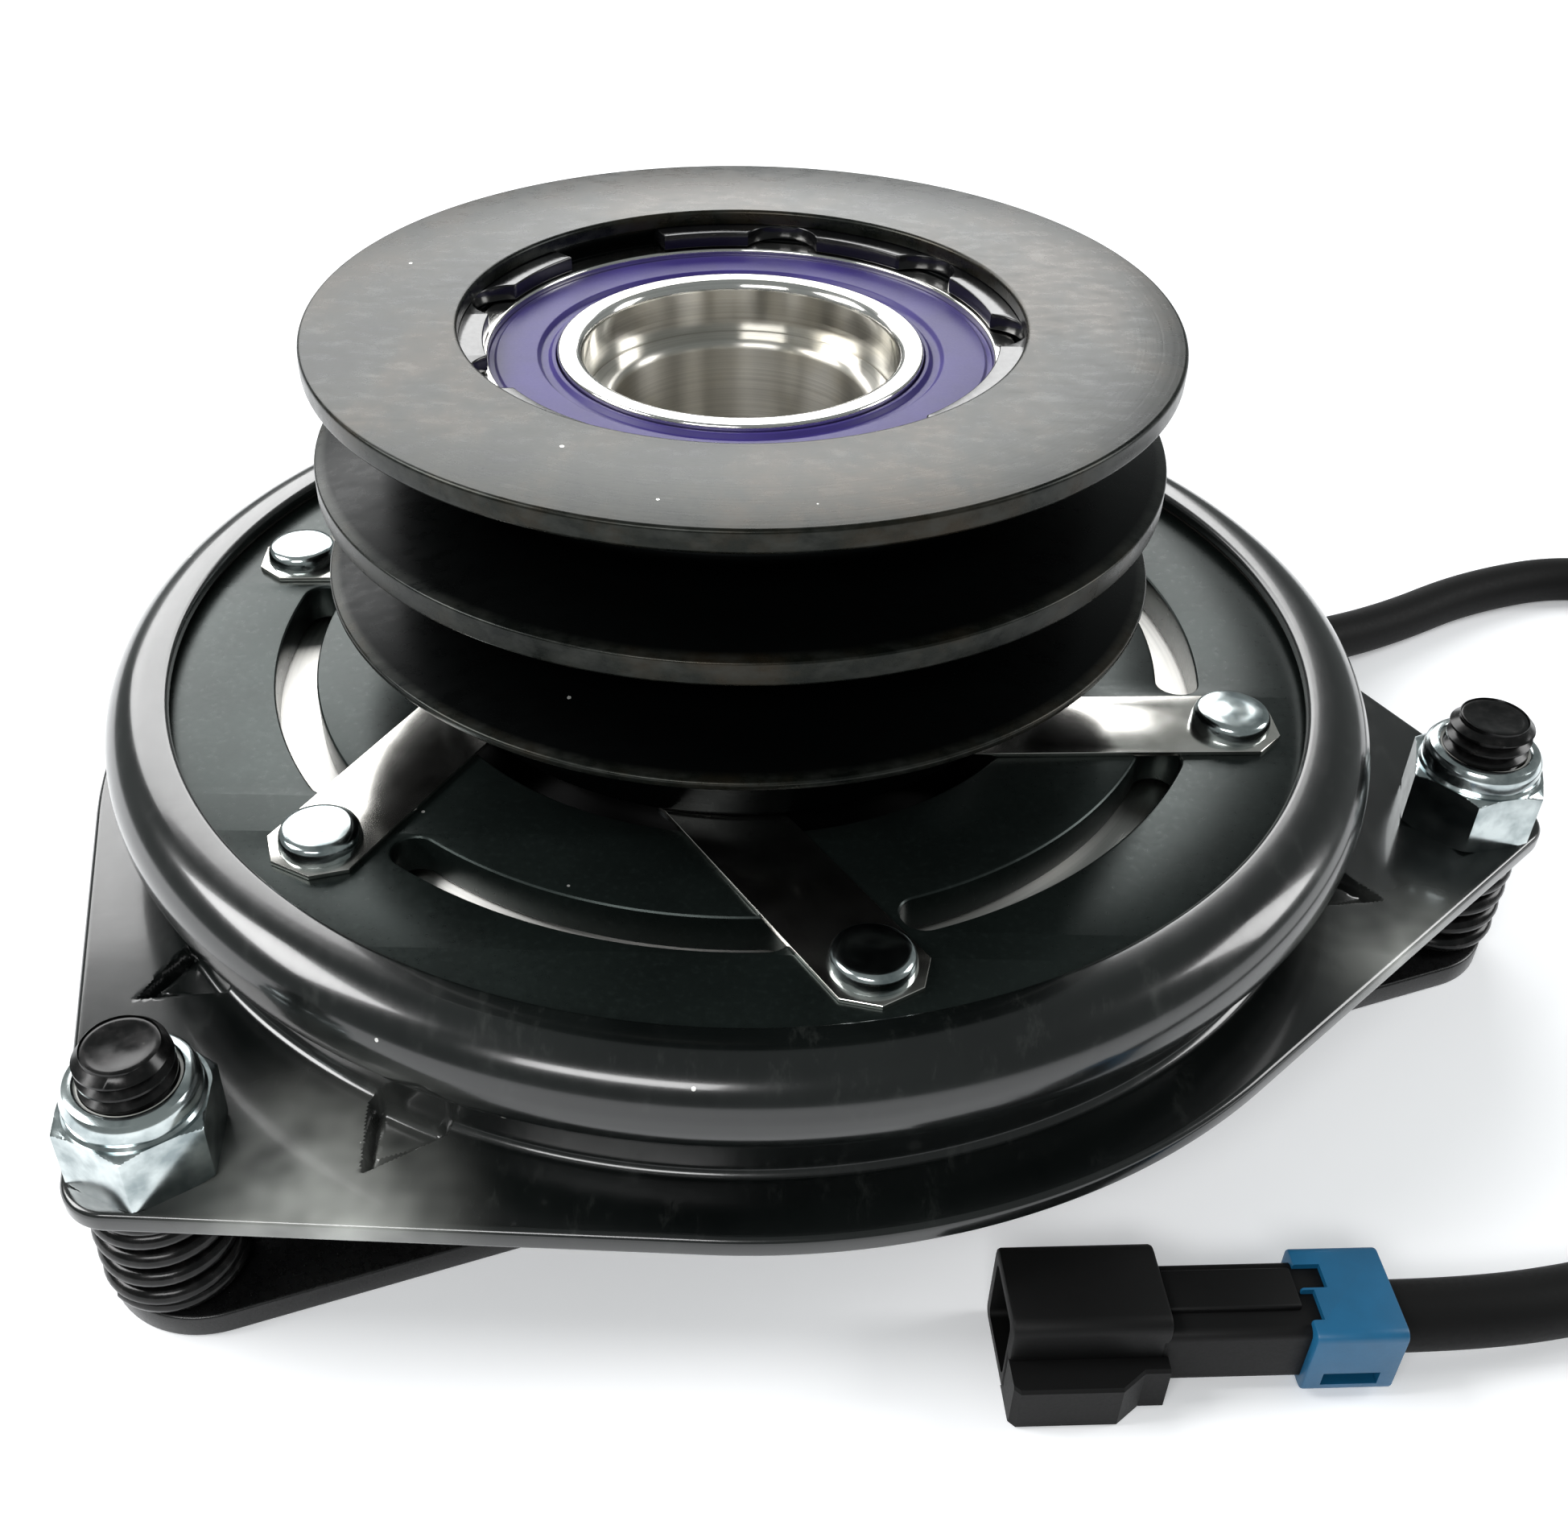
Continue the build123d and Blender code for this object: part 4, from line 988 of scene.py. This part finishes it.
# Heights of the hexagon's rings, close together where the chamfers run, then the collar and the bore inside it.
HEX_RINGS = [0.0] + [0.1 * k for k in range(1, 10)] + [1.5, 3.0, 4.5, 5.4] + [5.6 + 0.1 * k for k in range(21)]
COLLAR_RINGS = [
    (COLLAR_R + 0.25, HEX_H),
    (COLLAR_R, HEX_H + 0.3),
    (COLLAR_R, 9.2),
    (COLLAR_R - 0.15, 9.75),
    (COLLAR_R - 0.5, 10.2),
    (COLLAR_R - 0.95, 10.42),
    (COLLAR_R - 1.4, 10.45),
    (COLLAR_R - 1.6, 10.3),
    (COLLAR_R - 1.62, 9.9),
    (5.0, 9.8),
    (4.95, 7.9),
    (4.8, 7.8),
    (4.8, 0.3),
    (5.1, 0.0),
]


def hexagon_radius(turn, height):
    """Radius of the nut's hexagon, its corners chamfered at both ends."""
    cone = min(7.55 + 1.9 * height, 7.35 + 1.75 * (HEX_H - height))
    return min(HALF_FLATS / cos(radians((turn + 30) % 60 - 30)), cone)


nut_rings = [(None, height) for height in HEX_RINGS] + COLLAR_RINGS
for number, ear in enumerate(EAR_ANGLES, start=1):
    stud = around(STUD_CIRCLE_R, ear)
    points = []
    for round_radius, height in nut_rings:
        for i in range(NUT_SEGMENTS):
            turn = 360 * i / NUT_SEGMENTS
            radius = round_radius or hexagon_radius(turn, height)
            angle = radians(turn + ear + NUT_TURNS[number - 1] + 30)
            points.append(beside(stud, radius, angle, FLANGE_TOP + height))
    nut_mesh = new_mesh("nut", points, grid_faces(len(nut_rings), NUT_SEGMENTS, True, True), 26)
    piece(f"lock_nut_{number}_body", nut_mesh, f"lock_nut_{number}", "zinc_plate", f"lock_nut_{number}")

SPRING_LOW, SPRING_HIGH, SPRING_R, WIRE_R = 3.0, 17.7, 6.4, 1.1
ACTIVE_TURNS, END_TURNS, END_RISE = 4.0, 0.8, 0.35  # the end turns lie nearly flat
STEPS_PER_TURN, WIRE_SIDES = 48, 14
total = ACTIVE_TURNS + 2 * END_TURNS
steps = int(total * STEPS_PER_TURN)
low, high = SPRING_LOW + WIRE_R, SPRING_HIGH - WIRE_R
for number, ear in enumerate(EAR_ANGLES, start=1):
    stud = around(STUD_CIRCLE_R, ear)
    points = []
    for step in range(steps + 1):
        turn = total * step / steps
        from_low = min(turn, END_TURNS) / END_TURNS * END_RISE
        from_high = min(total - turn, END_TURNS) / END_TURNS * END_RISE
        middle = max(0.0, min(1.0, (turn - END_TURNS) / ACTIVE_TURNS))
        last_rise = END_RISE - from_high if middle == 1 else 0
        height = low + from_low + middle * (high - low - 2 * END_RISE) + last_rise
        angle = 2 * pi * turn + radians(ear)
        for k in range(WIRE_SIDES):
            wire = 2 * pi * k / WIRE_SIDES
            radius = SPRING_R + WIRE_R * cos(wire)
            z = min(max(height + WIRE_R * sin(wire), SPRING_LOW + 0.02), SPRING_HIGH - 0.02)
            points.append(beside(stud, radius, angle, z))
    faces = grid_faces(steps + 1, WIRE_SIDES, False, True)
    faces += [tuple(range(WIRE_SIDES)), tuple(range(len(points) - WIRE_SIDES, len(points)))[::-1]]
    coil_mesh = new_mesh("coil", points, faces, 60)
    name = f"brake_spring_coil_{number}"
    coil = piece(name, coil_mesh, None, "black_spring_wire", f"brake_spring_{number}")
    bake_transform(coil)

# -------------------------------- mounting plate
PLATE_EAR_R, PLATE_EAR_CIRCLE_R, PLATE_T = 11.0, 86.0, 3.0
plate_outline = []
for ear in sorted(EAR_ANGLES):
    centre = around(PLATE_EAR_CIRCLE_R, ear)
    plate_outline += arc((centre.x, centre.y), PLATE_EAR_R, ear - 60, ear + 60, 5)
plate_holes = [circle((0, 0), 32.5, 180), circle(around(73.5, EAR_ANGLES[2]), 5.2)]
plate_holes += [circle(around(STUD_CIRCLE_R, ear), 4.75) for ear in EAR_ANGLES]
base_plate = plate("base_plate", [plate_outline] + plate_holes, 0.0, PLATE_T, 0.35)
piece("field_base_plate", base_plate, "field", "black_painted_steel", "field_mounting_plate")

# -------------------------------- connector
sleeve_end = Vector(lead_route[-1])
to_mouth = (sleeve_end - Vector(lead_route[-2])).normalized()
to_side = Vector((0, 0, 1)).cross(to_mouth)
CONNECTOR_L, BODY_W, BODY_H = 38.5, 8.6, 7.6
MOUTH_L, MOUTH_W, MOUTH_H, MOUTH_SHIFT = 15.5, 10.2, 11.0, -0.8
SOCKET_W, SOCKET_H, SOCKET_DEPTH = 7.4, 8.2, 12.5
RAIL_W, RAIL_TAIL_W = 3.5, 1.6


def in_connector(points):
    """Points given as (distance from the sleeve, to the side, up) in the row frame."""
    upwards = Vector((0, 0, 1))
    return [
        sleeve_end + to_mouth * along + to_side * aside + upwards * rise
        for along, aside, rise in points
    ]


def box_section(name, stations):
    """A solid through rounded rectangles, each (distance, width, height, side shift, rise, corner)."""
    points = []
    for distance, width, height, shift, rise, corner in stations:
        half_w, half_h = width / 2, height / 2
        outline = rounded(
            [
                (shift - half_w, rise - half_h, corner),
                (shift + half_w, rise - half_h, corner),
                (shift + half_w, rise + half_h, corner),
                (shift - half_w, rise + half_h, corner),
            ]
        )
        points += in_connector([(distance, aside, up_by) for aside, up_by in outline])
    count = len(outline)
    faces = grid_faces(len(stations), count, False, True)
    faces += [tuple(range(count)), tuple(range(len(points) - count, len(points)))[::-1]]
    return new_mesh(name, points, faces, 30)


def soft_section(name, start, end, width, height, shift, rise, corner, edge=0.35):
    """A box section whose two ends have softened edges."""
    stations = []
    for along, shrink, rounding in (
        (start, 2, 0.8),
        (start + edge * 0.3, 0.6, 0.95),
        (start + edge, 0, 1),
        (end - edge, 0, 1),
        (end - edge * 0.3, 0.6, 0.95),
        (end, 2, 0.8),
    ):
        section = (width - shrink * edge, height - shrink * edge, shift, rise, corner * rounding)
        stations.append((along, *section))
    return box_section(name, stations)


mouth_from = CONNECTOR_L - MOUTH_L
mouth_mesh = soft_section("mouth", mouth_from, CONNECTOR_L, MOUTH_W, MOUTH_H, MOUTH_SHIFT, 0, 1.4)
socket = soft_section(
    "socket", CONNECTOR_L - SOCKET_DEPTH, CONNECTOR_L + 2, SOCKET_W, SOCKET_H, MOUTH_SHIFT, 0, 0.8
)
mouth_mesh = cut(mouth_mesh, [socket], 30)
rail_side = BODY_W / 2
rail_plan = [
    (CONNECTOR_L, -1.0),
    (CONNECTOR_L, RAIL_W - 0.6),
    (CONNECTOR_L - 0.6, RAIL_W),
    (CONNECTOR_L - 10.5, RAIL_W),
    (CONNECTOR_L - 13.0, RAIL_TAIL_W),
    (CONNECTOR_L - MOUTH_L, RAIL_TAIL_W),
    (CONNECTOR_L - MOUTH_L, -1.0),
]
rail_points = []
for rise, inset in ((-5.5, 0.3), (-5.2, 0.0), (0.2, 0.0), (0.5, 0.3)):
    rail_points += in_connector([(along, rail_side + aside - inset, rise) for along, aside in rail_plan])
corners = len(rail_plan)
rail_faces = grid_faces(len(rail_points) // corners, corners, False, True)
rail_faces += [tuple(range(corners)), tuple(range(len(rail_points) - corners, len(rail_points)))[::-1]]
rail_mesh = new_mesh("rail", rail_points, rail_faces, 25)
body_mesh = soft_section("body", 0.0, mouth_from + 1.0, BODY_W, BODY_H, 0, 0, 1.0)
rib_mesh = soft_section("latch_rib", 9.8, mouth_from + 1.5, 4.6, 0.9, -0.6, BODY_H / 2 + 0.2, 0.3, 0.25)
connector_mesh = joined("connector", [mouth_mesh, rail_mesh, body_mesh, rib_mesh])
piece("connector_shell", connector_mesh, "field", "connector_black", "connector_housing")
lock_sleeve = soft_section("lock", 0.4, 9.4, 10.8, 9.0, 0, 0, 1.0, 0.25)


def lock_cutter(name, start, end, *section):
    """A straight cutter along the lock: width, height, side shift, rise and corner."""
    return box_section(name, [(start, *section), (end, *section)])


lock_cutters = [
    lock_cutter("lock_bore", -1, 11, BODY_W + 0.04, BODY_H + 0.04, 0, 0, 1.0),
    lock_cutter("lock_notch", 6.8, 11, 2.7, 3.0, -1.7, 4.5, 0.2),
    lock_cutter("lock_step", 8.2, 11, 3.4, 3.0, 1.6, 4.5, 0.2),
    lock_cutter("lock_window", 2.1, 7.7, 3.0, 1.8, 5.4, -2.25, 0.15),
]
lock_mesh = cut(lock_sleeve, lock_cutters, 28)
piece("connector_lock_clip", lock_mesh, "field", "lock_blue", "connector_lock")

# -------------------------------- floor and light
floor_mesh = bpy.data.meshes.new("floor")
floor_mesh.from_pydata([(-6, -6, 0), (6, -6, 0), (6, 6, 0), (-6, 6, 0)], [], [(0, 1, 2, 3)])
floor = placed("floor", floor_mesh)
floor_look = bpy.data.materials.new("floor_white")
floor_look.use_nodes = True
floor_shader = next(node for node in floor_look.node_tree.nodes if node.type == "BSDF_PRINCIPLED")
floor_values = {
    "Base Color": (0.93, 0.935, 0.95, 1),
    "Roughness": 0.9,
    "Emission Color": (0.97, 0.98, 1.0, 1),
    "Emission Strength": 0.22,
}
for socket, value in floor_values.items():
    floor_shader.inputs[socket].default_value = value
floor_mesh.materials.append(floor_look)

world = bpy.data.worlds.new("studio")
world.use_nodes = True
backdrop = next(node for node in world.node_tree.nodes if node.type == "BACKGROUND")
backdrop.inputs["Color"].default_value = (0.93, 1.0, 0.99, 1)
backdrop.inputs["Strength"].default_value = 0.26
bpy.context.scene.world = world
bpy.context.scene.view_settings.view_transform = "Standard"


LIGHT_AIM = Vector((0, 0, 0.03))


def soft_light(name, place, width, height, power):
    """A large rectangular light aimed at the clutch, in metres and watts."""
    data = bpy.data.lights.new(name, "AREA")
    data.shape = "RECTANGLE"
    data.size = width
    data.size_y = height
    data.energy = power
    light = placed(name, data)
    light.location = place
    light.rotation_euler = (LIGHT_AIM - Vector(place)).to_track_quat("-Z", "Y").to_euler()


soft_light("key", (-0.75, 0.0, 0.7), 0.5, 0.4, 8.5)
soft_light("front", (-0.25, -0.75, 0.7), 0.5, 0.2, 4.0)
soft_light("back", (-0.21, 0.9, 0.6), 1.18, 0.4, 9.0)
soft_light("side", (0.95, 0.1, 0.5), 0.3, 0.5, 4.0)
